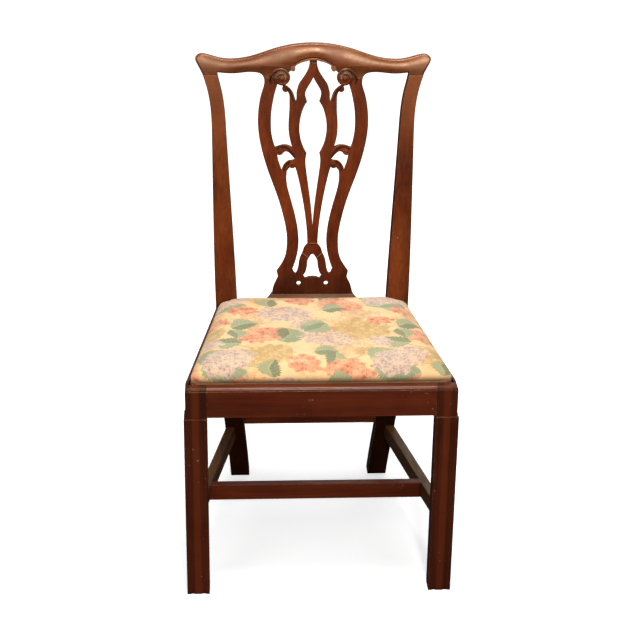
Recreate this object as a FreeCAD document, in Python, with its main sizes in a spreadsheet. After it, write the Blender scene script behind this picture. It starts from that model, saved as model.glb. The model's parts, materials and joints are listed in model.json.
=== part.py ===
import FreeCAD, Part
import Sketcher
import math
import os

from FreeCAD import Vector

# Dining chair with a pierced splat and a drop-in seat.
# Millimetres, +Z up, the front faces -Y, the origin is under the middle of the chair on the floor.
# Every piece is drawn with Y measured back from the front of the legs, then moved to the origin.

doc = FreeCAD.newDocument("dining_chair")
sheet = doc.addObject("Spreadsheet::Sheet", "sizes")
nodes = {}

# Driving sizes

driving = [
    ("front_width", 520.0, "over the two front legs"),
    ("leg_width", 44.0, "square of a lower front leg"),
    ("leg_height", 382.0, "floor to the shoulder of a front leg"),
    ("leg_step", 3.2, "how far the lower leg stands out from the block above it"),
    ("leg_hollow_radius", 8.0, "hollows worked down the two outer faces"),
    ("leg_hollow_depth", 1.8, ""),
    ("leg_bead_width", 12.0, "bead left between two hollows"),
    ("leg_chamfer", 10.0, "inner corner of a front leg"),
    ("leg_shoulder", 3.0, "shoulder of a front leg to the bottom of the seat rails"),
    ("rail_height", 60.0, ""),
    ("rim_front", 19.5, "front rail in front of the drop-in seat"),
    ("rim_side", 8.0, "side rail beside the drop-in seat"),
    ("ledge_front", 12.0, "rebate ledge under the seat"),
    ("ledge_side", 13.0, ""),
    ("ledge_back", 15.0, ""),
    ("rebate_depth", 19.0, ""),
    ("rim_back", 30.0, "back rail behind the drop-in seat, which carries the shoe"),
    ("edge_round", 5.5, "rounded top edge of the seat rails"),
    ("edge_quirk", 1.2, "small step below the rounded edge"),
    ("rail_tenon_thickness", 9.0, ""),
    ("rail_tenon_length", 20.0, ""),
    ("rail_tenon_height", 26.0, ""),
    ("rail_tenon_inset", 7.0, "outer face of a rail to the face of its tenon"),
    ("joint_clearance", 0.15, "tenon to mortise, each side"),
    ("post_front", 410.4, "front of the front legs to the front of a back post at the seat"),
    ("post_depth", 40.0, "front to back at the seat"),
    ("post_top_depth", 24.0, "front to back under the crest rail"),
    ("foot_depth", 36.0, "front to back of a rear foot"),
    ("foot_kick", 69.6, "back of a post at the seat to the back of its foot"),
    ("back_half_width", 203.0, "middle of the chair to the outside of a back post at the seat"),
    ("post_width", 45.0, "across a back post at the seat"),
    ("rake", 7.2, "lean of the back, in degrees"),
    ("post_length", 482.1, "seat to crest rail, along the lean"),
    ("post_tenon_margin", 7.0, "sides of a post's top to its tenon"),
    ("post_tenon_length", 18.0, ""),
    ("crest_half_width", 239.0, "middle of the chair to the tip of an ear"),
    ("crest_rise", 64.6, "top of a post to the top of the crest rail"),
    ("crest_thickness", 24.0, ""),
    ("crest_crown", 3.5, "front of the crest rail, from its middle back to its edges"),
    ("crest_round", 4.0, "rounding of the crest rail's long edges"),
    ("knob_radius", 5.0, "knob at each foot of the arch in the crest rail"),
    ("knob_setback", 1.5, "front of the crest rail to the front of a knob"),
    ("dish_reach", 24.3, "hollow in the crest rail around a large scroll"),
    ("splat_half_width", 113.2, "at the belly of the splat"),
    ("splat_drop", 5.4, "tops of the posts to the tops of the splat's outer strands"),
    ("splat_thickness", 10.0, ""),
    ("splat_setback", 5.5, "face of the posts to the face of the splat"),
    ("splat_tenon_thickness", 5.0, ""),
    ("splat_tenon_length", 12.0, ""),
    ("splat_tenon_margin", 2.5, "edges of the splat to its tenons"),
    ("splat_foot_depth", 18.0, "splat into the shoe"),
    ("splat_hole_radius", 4.7, "two holes in the splat's foot"),
    ("volute_radius", 15.5, "large scroll under the crest rail"),
    ("volute_boss", 4.7, "how far the large scroll's ground stands out from the splat"),
    ("volute_bead", 2.3, "radius of the bead that winds into the large scroll"),
    ("volute_button", 4.8, "radius of the button in the middle of the large scroll"),
    ("horn_radius", 6.5, "button at the tip of the small horn"),
    ("scroll_radius", 8.0, "curled end of the two small scrolls"),
    ("scroll_boss", 1.5, "how far a curled end stands out"),
    ("scroll_dome", 1.5, "how far the button in a curled end stands out from it"),
    ("shoe_depth", 24.0, "front of a post to the back of the shoe"),
    ("shoe_half_width", 112.0, "at the foot of the shoe"),
    ("shoe_top_half_width", 86.5, ""),
    ("shoe_height", 22.6, "along the lean"),
    ("shoe_fillet", 4.0, "straight edge at the foot of the shoe"),
    ("shoe_lip", 3.0, "shoe in front of the face of the splat"),
    ("shoe_setback", 1.0, "front of a post to the foot of the shoe"),
    ("stretcher_bottom", 113.0, "side and cross stretchers, above the floor"),
    ("stretcher_height", 33.0, ""),
    ("stretcher_thickness", 18.0, ""),
    ("stretcher_setback", 2.0, "outside of a rear leg to the side stretcher"),
    ("stretcher_tenon_thickness", 8.0, ""),
    ("stretcher_tenon_length", 14.0, ""),
    ("stretcher_tenon_height", 23.0, ""),
    ("cross_stretcher_front", 174.0, "front of the legs to the cross stretcher"),
    ("cross_tenon_length", 10.0, ""),
    ("back_stretcher_bottom", 150.0, ""),
    ("block_reach", 42.0, "corner block along each rail, past the leg"),
    ("block_height", 28.0, ""),
    ("block_drop", 6.0, "ledge to the top of a corner block"),
    ("screw_offset", 15.0, "leg to the screw in each arm of a corner block"),
    ("screw_radius", 2.2, ""),
    ("screw_head_radius", 4.4, ""),
    ("screw_head_depth", 3.0, ""),
    ("screw_bite", 9.0, "screw into the rail"),
    ("screw_cover", 14.0, "rail to the seat of the screw's head"),
    ("screw_clearance", 0.4, "hole around a screw, each side"),
    ("seat_clearance", 1.5, "drop-in seat to the rim around it"),
    ("cover_thickness", 1.2, "seat fabric"),
    ("seat_frame_width", 55.0, "rails of the drop-in frame"),
    ("seat_frame_thickness", 15.0, ""),
    ("seat_front_radius", 14.0, "corners of the drop-in seat"),
    ("seat_back_radius", 36.0, ""),
    ("seat_frame_tenon", 20.0, "side rail of the drop-in frame into the front and back ones"),
    ("seat_crown", 31.0, "seat rail's top edge to the top of the cover"),
    ("webbing_width", 50.0, ""),
    ("webbing_thickness", 1.1, ""),
    ("webbing_gap", 45.0, "between two straps"),
    ("webbing_margin", 12.0, "end of a strap to the edge of the drop-in frame"),
    ("hessian_thickness", 0.8, ""),
    ("hessian_margin", 4.0, "hessian to the edge of the drop-in frame"),
    ("hem_width", 22.0, "cover turned under the drop-in frame"),
    ("hem_lap", 5.0, "dust cover over the hem"),
    ("dust_cover_thickness", 0.6, ""),
    ("tack_head_radius", 3.0, ""),
    ("tack_head", 0.8, ""),
    ("tack_shank_radius", 0.9, ""),
    ("tack_length", 9.0, ""),
    ("tack_spacing", 70.0, ""),
    ("overrun", 5.0, "extra length of a cutting solid"),
]

# Sizes worked out from the driving ones

derived = [
    ("half_front", "=front_width / 2"),
    ("rail_top", "=leg_height + leg_shoulder + rail_height"),
    ("overall_depth", "=post_front + post_depth + foot_kick"),
    ("splat_length", "=post_length - splat_drop - shoe_height"),
    ("rail_bottom", "=rail_top - rail_height"),
    ("ledge_level", "=rail_top - rebate_depth"),
    ("edge_level", "=rail_top - edge_round - edge_quirk"),
    ("block_outer", "=half_front - leg_step"),
    ("leg_inner", "=half_front - leg_width"),
    ("leg_middle", "=half_front - leg_width / 2"),
    ("hollow_half", "=sqrt(leg_hollow_radius ^ 2 - (leg_hollow_radius - leg_hollow_depth) ^ 2)"),
    ("hollow_offset", "=leg_bead_width / 2 + hollow_half"),
    ("hollow_out", "=leg_hollow_radius - leg_hollow_depth"),
    ("front_rim_line", "=leg_step + rim_front"),
    ("front_rail_back", "=front_rim_line + ledge_front"),
    ("front_tenon_front", "=leg_step + rail_tenon_inset"),
    ("front_tenon_back", "=front_tenon_front + rail_tenon_thickness"),
    ("tenon_top", "=ledge_level - rail_tenon_inset"),
    ("tenon_bottom", "=tenon_top - rail_tenon_height"),
    ("side_slope", "=(block_outer - back_half_width) / (post_front - leg_width)"),
    ("side_stretch", "=sqrt(1 + side_slope ^ 2)"),
    ("side_rim_across", "=rim_side * side_stretch"),
    ("side_rail_across", "=(rim_side + ledge_side) * side_stretch"),
    ("side_rail_inner", "=block_outer - side_rail_across"),
    ("side_rim_inner", "=block_outer - side_rim_across"),
    ("side_rail_back_inner", "=back_half_width - side_rail_across"),
    ("seat_back_line", "=post_front - leg_step"),
    ("back_rail_front", "=seat_back_line - ledge_back"),
    ("back_rail_back", "=seat_back_line + rim_back"),
    ("post_inner", "=back_half_width - post_width"),
    ("post_back", "=post_front + post_depth"),
    ("post_middle", "=post_front + post_depth / 2"),
    ("foot_front", "=overall_depth - foot_depth"),
    ("stretcher_tenon_bottom", "=stretcher_bottom + (stretcher_height - stretcher_tenon_height) / 2"),
    ("block_top", "=ledge_level - block_drop"),
    ("block_bottom", "=block_top - block_height"),
    ("frame_bottom", "=ledge_level + cover_thickness"),
    ("frame_top", "=frame_bottom + seat_frame_thickness"),
    ("hessian_bottom", "=frame_top + 2 * webbing_thickness"),
    ("stuffing_bottom", "=hessian_bottom + hessian_thickness"),
]


def fill_sheet():
    row = 1
    for alias, value, note in driving:
        sheet.set("A%d" % row, alias)
        sheet.set("B%d" % row, str(value))
        sheet.setAlias("B%d" % row, alias)
        sheet.set("C%d" % row, note)
        row += 1
    for alias, formula in derived:
        sheet.set("A%d" % row, alias)
        sheet.set("B%d" % row, formula)
        sheet.setAlias("B%d" % row, alias)
        row += 1
    doc.recompute()


def size(alias):
    return float(sheet.get(alias))


def value_of(expression):
    return float(sheet.evalExpression(expression))


fill_sheet()
mirror_plane = Vector(1, 0, 0)
floor = Vector(0, 0, 0)
rake = math.radians(size("rake"))

# Outlines and small helpers


def curve(points):
    spline = Part.BSplineCurve()
    spline.interpolate(points)
    return spline.toShape()


def curve_between(points, start_way, end_way):
    spline = Part.BSplineCurve()
    spline.interpolate(Points=points, InitialTangent=start_way, FinalTangent=end_way)
    return spline.toShape()


def line(start, end):
    return Part.LineSegment(start, end).toShape()


def polyline(points):
    return [line(a, b) for a, b in zip(points[:-1], points[1:])]


def prism(edges, direction):
    return Part.Face(Part.Wire(Part.__sortEdges__(edges))).extrude(direction)


def box(low, high):
    return Part.makeBox(high.x - low.x, high.y - low.y, high.z - low.z, low)


def mirrored(shape):
    return shape.mirror(floor, mirror_plane)


def on_side(shape, side):
    return shape if side > 0 else mirrored(shape)


def add_feature(label, shape):
    feature = doc.addObject("Part::Feature", label)
    feature.Label = label
    feature.Shape = shape
    nodes[label] = feature
    return feature


def in_back(x, along, depth):
    """Point of the leaning back: across, up along the lean, and behind the posts' front face."""
    return Vector(
        x,
        size("post_front") + along * math.sin(rake) + depth * math.cos(rake),
        size("rail_top") + along * math.cos(rake) - depth * math.sin(rake),
    )


def lean(shape):
    """Stands a shape drawn in the XZ plane, with Y as its depth, on the leaning back."""
    tilt = FreeCAD.Matrix()
    tilt.rotateX(-rake)
    tilt.move(Vector(0, size("post_front"), size("rail_top")))
    leaning = shape.copy()
    leaning.transformShape(tilt, True)
    return leaning


def side_names(side):
    return "right" if side > 0 else "left"


# Sketched pieces: every corner of an outline is tied to the sheet by two expressions


def new_body(label):
    body = doc.addObject("PartDesign::Body", label)
    body.Label = label
    return body


def origin_plane(body, role):
    return [feature for feature in body.Origin.OriginFeatures if feature.Role == role][0]


def sketch_polygon(body, role, corners, level="0"):
    sketch = body.newObject("Sketcher::SketchObject", body.Label + "_sketch")
    sketch.AttachmentSupport = [(origin_plane(body, role), "")]
    sketch.MapMode = "FlatFace"
    sketch.setExpression("AttachmentOffset.Base.z", level)
    add_polygon(sketch, corners)
    return sketch


def add_polygon(sketch, corners):
    places = [Vector(value_of(across), value_of(along), 0) for across, along in corners]
    first = sketch.GeometryCount
    for start, end in zip(places, places[1:] + places[:1]):
        sketch.addGeometry(Part.LineSegment(start, end))
    for index in range(len(places)):
        following = (index + 1) % len(places)
        sketch.addConstraint(Sketcher.Constraint("Coincident", first + index, 2, first + following, 1))
    for index, (across, along) in enumerate(corners):
        tie_point(sketch, first + index, 1, across, along)


def tie_point(sketch, geometry, position, across, along):
    for kind, expression in (("DistanceX", across), ("DistanceY", along)):
        constraint = Sketcher.Constraint(kind, -1, 1, geometry, position, value_of(expression))
        number = sketch.addConstraint(constraint)
        sketch.setExpression("Constraints[%d]" % number, expression)


def pad(body, sketch, length):
    feature = body.newObject("PartDesign::Pad", body.Label + "_pad")
    feature.Profile = sketch
    feature.setExpression("Length", length)
    return feature


def pocket(body, sketch, length, reversed_cut):
    doc.recompute()
    before = body.Shape.Volume
    feature = body.newObject("PartDesign::Pocket", body.Label + "_pocket")
    feature.Profile = sketch
    feature.Reversed = reversed_cut
    feature.setExpression("Length", length)
    doc.recompute()
    if body.Shape.Volume >= before:
        raise RuntimeError(body.Label + ": a pocket cuts nothing")
    return feature


def sketch_circles(body, role, circles, level="0"):
    sketch = body.newObject("Sketcher::SketchObject", body.Label + "_sketch")
    sketch.AttachmentSupport = [(origin_plane(body, role), "")]
    sketch.MapMode = "FlatFace"
    sketch.setExpression("AttachmentOffset.Base.z", level)
    for across, along, radius in circles:
        centre = Vector(value_of(across), value_of(along), 0)
        circle = sketch.addGeometry(Part.Circle(centre, Vector(0, 0, 1), value_of(radius)))
        tie_point(sketch, circle, 3, across, along)
        number = sketch.addConstraint(Sketcher.Constraint("Radius", circle, value_of(radius)))
        sketch.setExpression("Constraints[%d]" % number, radius)
    return sketch


def rectangle(left, right, low, high):
    return [(left, low), (right, low), (right, high), (left, high)]


def grown(left, right, low, high, clearance="sizes.joint_clearance"):
    """A mortise's rectangle: the tenon's, with the clearance on every side."""
    return rectangle(
        "%s - %s" % (left, clearance),
        "%s + %s" % (right, clearance),
        "%s - %s" % (low, clearance),
        "%s + %s" % (high, clearance),
    )


def on_side_of(corners, side):
    return [("%d * (%s)" % (side, across), along) for across, along in corners]


def round_edges(body, radius, points):
    """Rounds the edges that pass through the given points."""
    doc.recompute()
    base = body.Tip
    names = []
    for point in points:
        vertex = Part.Vertex(point)
        distances = [edge.distToShape(vertex)[0] for edge in base.Shape.Edges]
        names.append("Edge%d" % (distances.index(min(distances)) + 1))
    fillet = body.newObject("PartDesign::Fillet", body.Label + "_round")
    fillet.Base = (base, names)
    fillet.setExpression("Radius", radius)
    body.Tip = fillet
    doc.recompute()


def place(label, feature):
    feature.Label = label
    nodes[label] = feature


# Front legs: moulded below the shoulder, square beside the rails


def front_leg(side):
    body = new_body(side_names(side) + "_front_leg")
    lower = on_side_of(
        [
            ("sizes.leg_inner", "0"),
            ("sizes.half_front", "0"),
            ("sizes.half_front", "sizes.leg_width"),
            ("sizes.leg_inner + sizes.leg_chamfer", "sizes.leg_width"),
            ("sizes.leg_inner", "sizes.leg_width - sizes.leg_chamfer"),
        ],
        side,
    )
    pad(body, sketch_polygon(body, "XY_Plane", lower), "sizes.leg_height")
    block = rectangle("sizes.leg_inner", "sizes.block_outer", "sizes.leg_step", "sizes.leg_width")
    block_sketch = sketch_polygon(body, "XY_Plane", on_side_of(block, side), "sizes.leg_height")
    pad(body, block_sketch, "sizes.rail_top - sizes.leg_height")
    hollows = []
    for way in ("-", "+"):
        hollows.append(("%d * (sizes.leg_middle %s sizes.hollow_offset)" % (side, way),
                        "-sizes.hollow_out", "sizes.leg_hollow_radius"))
        hollows.append(("%d * (sizes.half_front + sizes.hollow_out)" % side,
                        "sizes.leg_width / 2 %s sizes.hollow_offset" % way, "sizes.leg_hollow_radius"))
    pocket(body, sketch_circles(body, "XY_Plane", hollows), "sizes.leg_height", True)
    cut_leg_rebate(body, side)
    cut_leg_mortises(body, side)
    mould_leg_block(body, side)
    place(body.Label, body)


def cut_leg_rebate(body, side):
    edge = "sizes.side_rim_inner - (%s - sizes.leg_width) * sizes.side_slope"
    beyond = "(sizes.leg_width + sizes.overrun)"
    corners = [
        ("sizes.leg_inner - sizes.overrun", "sizes.front_rim_line"),
        (edge % "sizes.front_rim_line", "sizes.front_rim_line"),
        (edge % beyond, beyond),
        ("sizes.leg_inner - sizes.overrun", beyond),
    ]
    sketch = sketch_polygon(body, "XY_Plane", on_side_of(corners, side), "sizes.rail_top")
    pocket(body, sketch, "sizes.rebate_depth", False)


def cut_leg_mortises(body, side):
    depth = "sizes.rail_tenon_length + sizes.joint_clearance"
    front = grown("sizes.front_tenon_front", "sizes.front_tenon_back",
                  "sizes.tenon_bottom", "sizes.tenon_top")
    sketch = sketch_polygon(body, "YZ_Plane", front, "%d * sizes.leg_inner" % side)
    pocket(body, sketch, depth, side > 0)
    outer = "sizes.block_outer - sizes.rail_tenon_inset"
    rear = grown(outer + " - sizes.rail_tenon_thickness", outer, "sizes.tenon_bottom", "sizes.tenon_top")
    sketch = sketch_polygon(body, "XZ_Plane", on_side_of(rear, side), "-sizes.leg_width")
    pocket(body, sketch, depth, True)
    middle = "sizes.half_front - sizes.stretcher_thickness / 2"
    half = "sizes.stretcher_tenon_thickness / 2"
    low = "sizes.stretcher_tenon_bottom"
    stretcher = grown(middle + " - " + half, middle + " + " + half, low,
                      low + " + sizes.stretcher_tenon_height")
    sketch = sketch_polygon(body, "XZ_Plane", on_side_of(stretcher, side), "-sizes.leg_width")
    pocket(body, sketch, "sizes.stretcher_tenon_length + sizes.joint_clearance", True)


def mould_leg_block(body, side):
    front = rectangle("sizes.leg_inner", "sizes.block_outer",
                      "sizes.leg_step", "sizes.leg_step + sizes.edge_quirk")
    outer = rectangle("sizes.block_outer - sizes.edge_quirk", "sizes.block_outer",
                      "sizes.leg_step", "sizes.leg_width")
    for corners in (front, outer):
        sketch = sketch_polygon(body, "XY_Plane", on_side_of(corners, side), "sizes.rail_top")
        pocket(body, sketch, "sizes.rail_top - sizes.edge_level", False)
    quirk = size("edge_quirk")
    middle = (size("leg_inner") + size("block_outer")) / 2
    front_edge = Vector(side * middle, size("leg_step") + quirk, size("rail_top"))
    side_edge = Vector(side * (size("block_outer") - quirk), size("leg_width") / 2, size("rail_top"))
    round_edges(body, "sizes.edge_round", [front_edge, side_edge])


for side in (1, -1):
    front_leg(side)

# Seat rails, rebated for the drop-in seat and tenoned into the legs and posts


def rail_section(body, corners, half_length):
    sketch = sketch_polygon(body, "YZ_Plane", corners, "-(%s)" % half_length)
    pad(body, sketch, "2 * (%s)" % half_length)


def front_seat_rail():
    body = new_body("front_seat_rail")
    step = "sizes.leg_step + sizes.edge_quirk"
    section = [
        ("sizes.leg_step", "sizes.rail_bottom"),
        ("sizes.leg_step", "sizes.edge_level"),
        (step, "sizes.edge_level"),
        (step, "sizes.rail_top"),
        ("sizes.front_rim_line", "sizes.rail_top"),
        ("sizes.front_rim_line", "sizes.ledge_level"),
        ("sizes.front_rail_back", "sizes.ledge_level"),
        ("sizes.front_rail_back", "sizes.rail_bottom"),
    ]
    rail_section(body, section, "sizes.leg_inner")
    tenon = rectangle("sizes.front_tenon_front", "sizes.front_tenon_back",
                      "sizes.tenon_bottom", "sizes.tenon_top")
    rail_section(body, tenon, "sizes.leg_inner + sizes.rail_tenon_length")
    edge = Vector(0, size("leg_step") + size("edge_quirk"), size("rail_top"))
    round_edges(body, "sizes.edge_round", [edge])
    place(body.Label, body)


def back_seat_rail():
    body = new_body("back_seat_rail")
    section = [
        ("sizes.back_rail_front", "sizes.rail_bottom"),
        ("sizes.back_rail_front", "sizes.ledge_level"),
        ("sizes.seat_back_line", "sizes.ledge_level"),
        ("sizes.seat_back_line", "sizes.rail_top"),
        ("sizes.back_rail_back", "sizes.rail_top"),
        ("sizes.back_rail_back", "sizes.rail_bottom"),
    ]
    rail_section(body, section, "sizes.post_inner")
    half = "sizes.rail_tenon_thickness / 2"
    tenon = rectangle("sizes.post_middle - " + half, "sizes.post_middle + " + half,
                      "sizes.tenon_bottom", "sizes.tenon_top")
    rail_section(body, tenon, "sizes.post_inner + sizes.rail_tenon_length")
    place(body.Label, body)


def side_seat_rail(side):
    body = new_body(side_names(side) + "_seat_rail")
    plan = [
        ("sizes.block_outer", "sizes.leg_width"),
        ("sizes.back_half_width", "sizes.post_front"),
        ("sizes.side_rail_back_inner", "sizes.post_front"),
        ("sizes.side_rail_inner", "sizes.leg_width"),
    ]
    rebate = [
        ("sizes.side_rim_inner", "sizes.leg_width"),
        ("sizes.back_half_width - sizes.side_rim_across", "sizes.post_front"),
        ("sizes.side_rail_back_inner", "sizes.post_front"),
        ("sizes.side_rail_inner", "sizes.leg_width"),
    ]
    quirk = [
        ("sizes.block_outer", "sizes.leg_width"),
        ("sizes.back_half_width", "sizes.post_front"),
        ("sizes.back_half_width - sizes.edge_quirk", "sizes.post_front"),
        ("sizes.block_outer - sizes.edge_quirk", "sizes.leg_width"),
    ]
    pad(body, sketch_polygon(body, "XY_Plane", on_side_of(plan, side), "sizes.rail_bottom"),
        "sizes.rail_height")
    top = "sizes.rail_top"
    pocket(body, sketch_polygon(body, "XY_Plane", on_side_of(rebate, side), top),
           "sizes.rebate_depth", False)
    pocket(body, sketch_polygon(body, "XY_Plane", on_side_of(quirk, side), top),
           "sizes.rail_top - sizes.edge_level", False)
    for outer, shoulder, way in (("sizes.block_outer", "sizes.leg_width", "-"),
                                 ("sizes.back_half_width", "sizes.post_front", "+")):
        face = outer + " - sizes.rail_tenon_inset"
        tip = "%s %s sizes.rail_tenon_length" % (shoulder, way)
        root = "%s - (0 %s sizes.overrun)" % (shoulder, way)
        tenon = rectangle(face + " - sizes.rail_tenon_thickness", face, root, tip)
        sketch = sketch_polygon(body, "XY_Plane", on_side_of(tenon, side), "sizes.tenon_bottom")
        pad(body, sketch, "sizes.rail_tenon_height")
    middle = (size("leg_width") + size("post_front")) / 2
    across = (size("block_outer") + size("back_half_width")) / 2 - size("edge_quirk")
    round_edges(body, "sizes.edge_round", [Vector(side * across, middle, size("rail_top"))])
    place(body.Label, body)


front_seat_rail()
back_seat_rail()
for side in (1, -1):
    side_seat_rail(side)

# Back posts: rear leg and post in one, sawn to a front outline and a side outline.
# Heights are shares of the height to the seat rail, or of the height from the seat to the crest
# rail; widths are shares of the back's half width at the seat.

foot_outer_shares = [(0.0, 0.860), (0.34, 0.911), (0.75, 0.978), (1.0, 1.0)]
foot_inner_shares = [(0.0, 0.658), (0.34, 0.707), (0.75, 0.766), (1.0, 0.778)]
post_outer_shares = [(0.0, 1.0), (0.3, 1.014), (0.54, 1.018), (0.73, 1.020), (0.85, 1.028),
                     (0.93, 1.056), (0.98, 1.088), (1.0, 1.104), (1.03, 1.135)]
post_inner_shares = [(0.0, 0.778), (0.3, 0.814), (0.54, 0.847), (0.73, 0.872), (0.85, 0.890),
                     (0.93, 0.920), (0.98, 0.949), (1.0, 0.958), (1.03, 0.970)]
kick_shares = [(0.0, 1.0), (0.26, 0.57), (0.44, 0.294), (0.62, 0.087), (0.78, 0.0)]


def between(shares, place):
    """Value of a table of shares at a place between two of its rows."""
    for (low, first), (high, last) in zip(shares[:-1], shares[1:]):
        if low <= place <= high:
            return first + (last - first) * (place - low) / (high - low)
    raise ValueError(place)


def foot_outer(level):
    return size("back_half_width") * between(foot_outer_shares, level / size("rail_bottom"))


def foot_inner(level):
    return size("back_half_width") * between(foot_inner_shares, level / size("rail_bottom"))


def foot_kick(level):
    straight = kick_shares[-1]
    return between(kick_shares, min(level / size("rail_bottom"), straight[0]))


def foot_front(level):
    return size("post_front") + foot_kick(level) * (size("foot_front") - size("post_front"))


def foot_back(level):
    return size("post_back") + foot_kick(level) * (size("overall_depth") - size("post_back"))


def outline_points(shares, bottom, height):
    half = size("back_half_width")
    return [Vector(across * half, -size("overrun"), bottom + share * height) for share, across in shares]


def post_front_view():
    post_height = size("post_length") * math.cos(rake)
    outer_foot = outline_points(foot_outer_shares, 0, size("rail_bottom"))
    inner_foot = outline_points(foot_inner_shares, 0, size("rail_bottom"))
    outer_post = outline_points(post_outer_shares, size("rail_top"), post_height)
    inner_post = outline_points(post_inner_shares, size("rail_top"), post_height)
    inner_foot[-1].x = size("post_inner")
    inner_post[0].x = size("post_inner")
    edges = [curve(outer_foot), curve(inner_foot), curve(outer_post), curve(inner_post)]
    edges.append(line(outer_foot[-1], outer_post[0]))
    edges.append(line(inner_foot[-1], inner_post[0]))
    edges.append(line(outer_foot[0], inner_foot[0]))
    edges.append(line(outer_post[-1], inner_post[-1]))
    return prism(edges, Vector(0, size("overall_depth") + 2 * size("overrun"), 0))


def kick_curve(seat_line, foot_line):
    points = [Vector(0, seat_line + out * (foot_line - seat_line), share * size("rail_bottom"))
              for share, out in kick_shares]
    return points, curve_between(points, points[1] - points[0], Vector(0, 0, 1))


def post_side_view():
    front_kick, front_curve = kick_curve(size("post_front"), size("foot_front"))
    back_kick, back_curve = kick_curve(size("post_back"), size("overall_depth"))
    front_seat = Vector(0, size("post_front"), size("rail_top"))
    back_seat = Vector(0, size("post_back"), size("rail_top"))
    front_top = in_back(0, size("post_length"), 0)
    back_top = in_back(0, size("post_length"), size("post_top_depth"))
    edges = [front_curve, back_curve, line(front_kick[0], back_kick[0])]
    edges += polyline([front_kick[-1], front_seat, front_top, back_top, back_seat, back_kick[-1]])
    return prism(edges, Vector(size("front_width"), 0, 0))


def post_tenon(clearance):
    margin = size("post_tenon_margin") - clearance
    half = size("back_half_width")
    left = between(post_inner_shares, 1) * half + margin
    right = between(post_outer_shares, 1) * half - margin
    low = Vector(left, margin, size("post_length") - size("overrun"))
    high = Vector(right, size("post_top_depth") - margin,
                  size("post_length") + size("post_tenon_length") + clearance)
    return lean(box(low, high))


def clearance_box(low, high, clearance):
    grow = Vector(clearance, clearance, clearance)
    return box(low - grow, high + grow)


def side_rail_tenon(clearance):
    outer = size("back_half_width") - size("rail_tenon_inset")
    low = Vector(outer - size("rail_tenon_thickness"), size("post_front") - size("overrun"),
                 size("tenon_bottom"))
    high = Vector(outer, size("post_front") + size("rail_tenon_length"), size("tenon_top"))
    return clearance_box(low, high, clearance)


def back_rail_tenon(clearance):
    half = size("rail_tenon_thickness") / 2
    low = Vector(size("post_inner") - size("overrun"), size("post_middle") - half, size("tenon_bottom"))
    high = Vector(size("post_inner") + size("rail_tenon_length"), size("post_middle") + half,
                  size("tenon_top"))
    return clearance_box(low, high, clearance)


# Stretchers, scribed to the rear legs and tenoned into them

side_level = size("stretcher_bottom") + size("stretcher_height") / 2
side_back = foot_front(side_level)
side_back_outer = foot_outer(side_level) - size("stretcher_setback")
side_lean = (size("half_front") - side_back_outer) / (side_back - size("leg_width"))
side_across = size("stretcher_thickness") * math.hypot(1, side_lean)
back_level = size("back_stretcher_bottom") + size("stretcher_height") / 2
back_middle = (foot_front(back_level) + foot_back(back_level)) / 2


def side_outer(back):
    return size("half_front") - (back - size("leg_width")) * side_lean


def tenon_band(bottom):
    low = bottom + (size("stretcher_height") - size("stretcher_tenon_height")) / 2
    return low, low + size("stretcher_tenon_height")


def side_stretcher_tenon(back, length, clearance):
    """Tenon that runs back from a given place for a given length, or forward if it is negative."""
    middle = side_outer(back) - size("stretcher_thickness") / 2
    half = size("stretcher_tenon_thickness") / 2
    bottom, top = tenon_band(size("stretcher_bottom"))
    ends = sorted([back + length, back - math.copysign(2 * size("overrun"), length)])
    low = Vector(middle - half, ends[0], bottom)
    return clearance_box(low, Vector(middle + half, ends[1], top), clearance)


def back_stretcher_tenon(clearance):
    inner = foot_inner(back_level)
    half = size("stretcher_tenon_thickness") / 2
    bottom, top = tenon_band(size("back_stretcher_bottom"))
    low = Vector(inner - 2 * size("overrun"), back_middle - half, bottom)
    high = Vector(inner + size("stretcher_tenon_length"), back_middle + half, top)
    return clearance_box(low, high, clearance)


def cross_stretcher_tenon(clearance):
    middle = size("cross_stretcher_front") + size("stretcher_thickness") / 2
    inner = side_outer(middle) - side_across
    half = size("stretcher_tenon_thickness") / 2
    bottom, top = tenon_band(size("stretcher_bottom"))
    low = Vector(inner - 2 * size("overrun"), middle - half, bottom)
    return clearance_box(low, Vector(inner + size("cross_tenon_length"), middle + half, top), clearance)


def side_stretcher(side, post):
    thickness = Vector(side_across, 0, 0)
    corners = [Vector(side_outer(back), back, size("stretcher_bottom"))
               for back in (size("leg_width"), side_back + 3 * size("overrun"))]
    corners += [corners[1] - thickness, corners[0] - thickness]
    bar = prism(polyline(corners + corners[:1]), Vector(0, 0, size("stretcher_height"))).cut(post)
    bar = max(bar.Solids, key=lambda solid: solid.Volume)
    bar = bar.fuse(side_stretcher_tenon(side_back, size("stretcher_tenon_length"), 0))
    bar = bar.fuse(side_stretcher_tenon(size("leg_width"), -size("stretcher_tenon_length"), 0))
    bar = bar.cut(cross_stretcher_tenon(size("joint_clearance")))
    add_feature(side_names(side) + "_side_stretcher", on_side(bar.removeSplitter(), side))


def cross_stretcher():
    front = size("cross_stretcher_front")
    back = front + size("stretcher_thickness")
    corners = [Vector(side_outer(place) - side_across, place, size("stretcher_bottom"))
               for place in (front, back)]
    corners = [Vector(0, front, corners[0].z)] + corners + [Vector(0, back, corners[0].z)]
    half = prism(polyline(corners + corners[:1]), Vector(0, 0, size("stretcher_height")))
    half = half.fuse(cross_stretcher_tenon(0))
    add_feature("cross_stretcher", half.fuse(mirrored(half)).removeSplitter())


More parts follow.
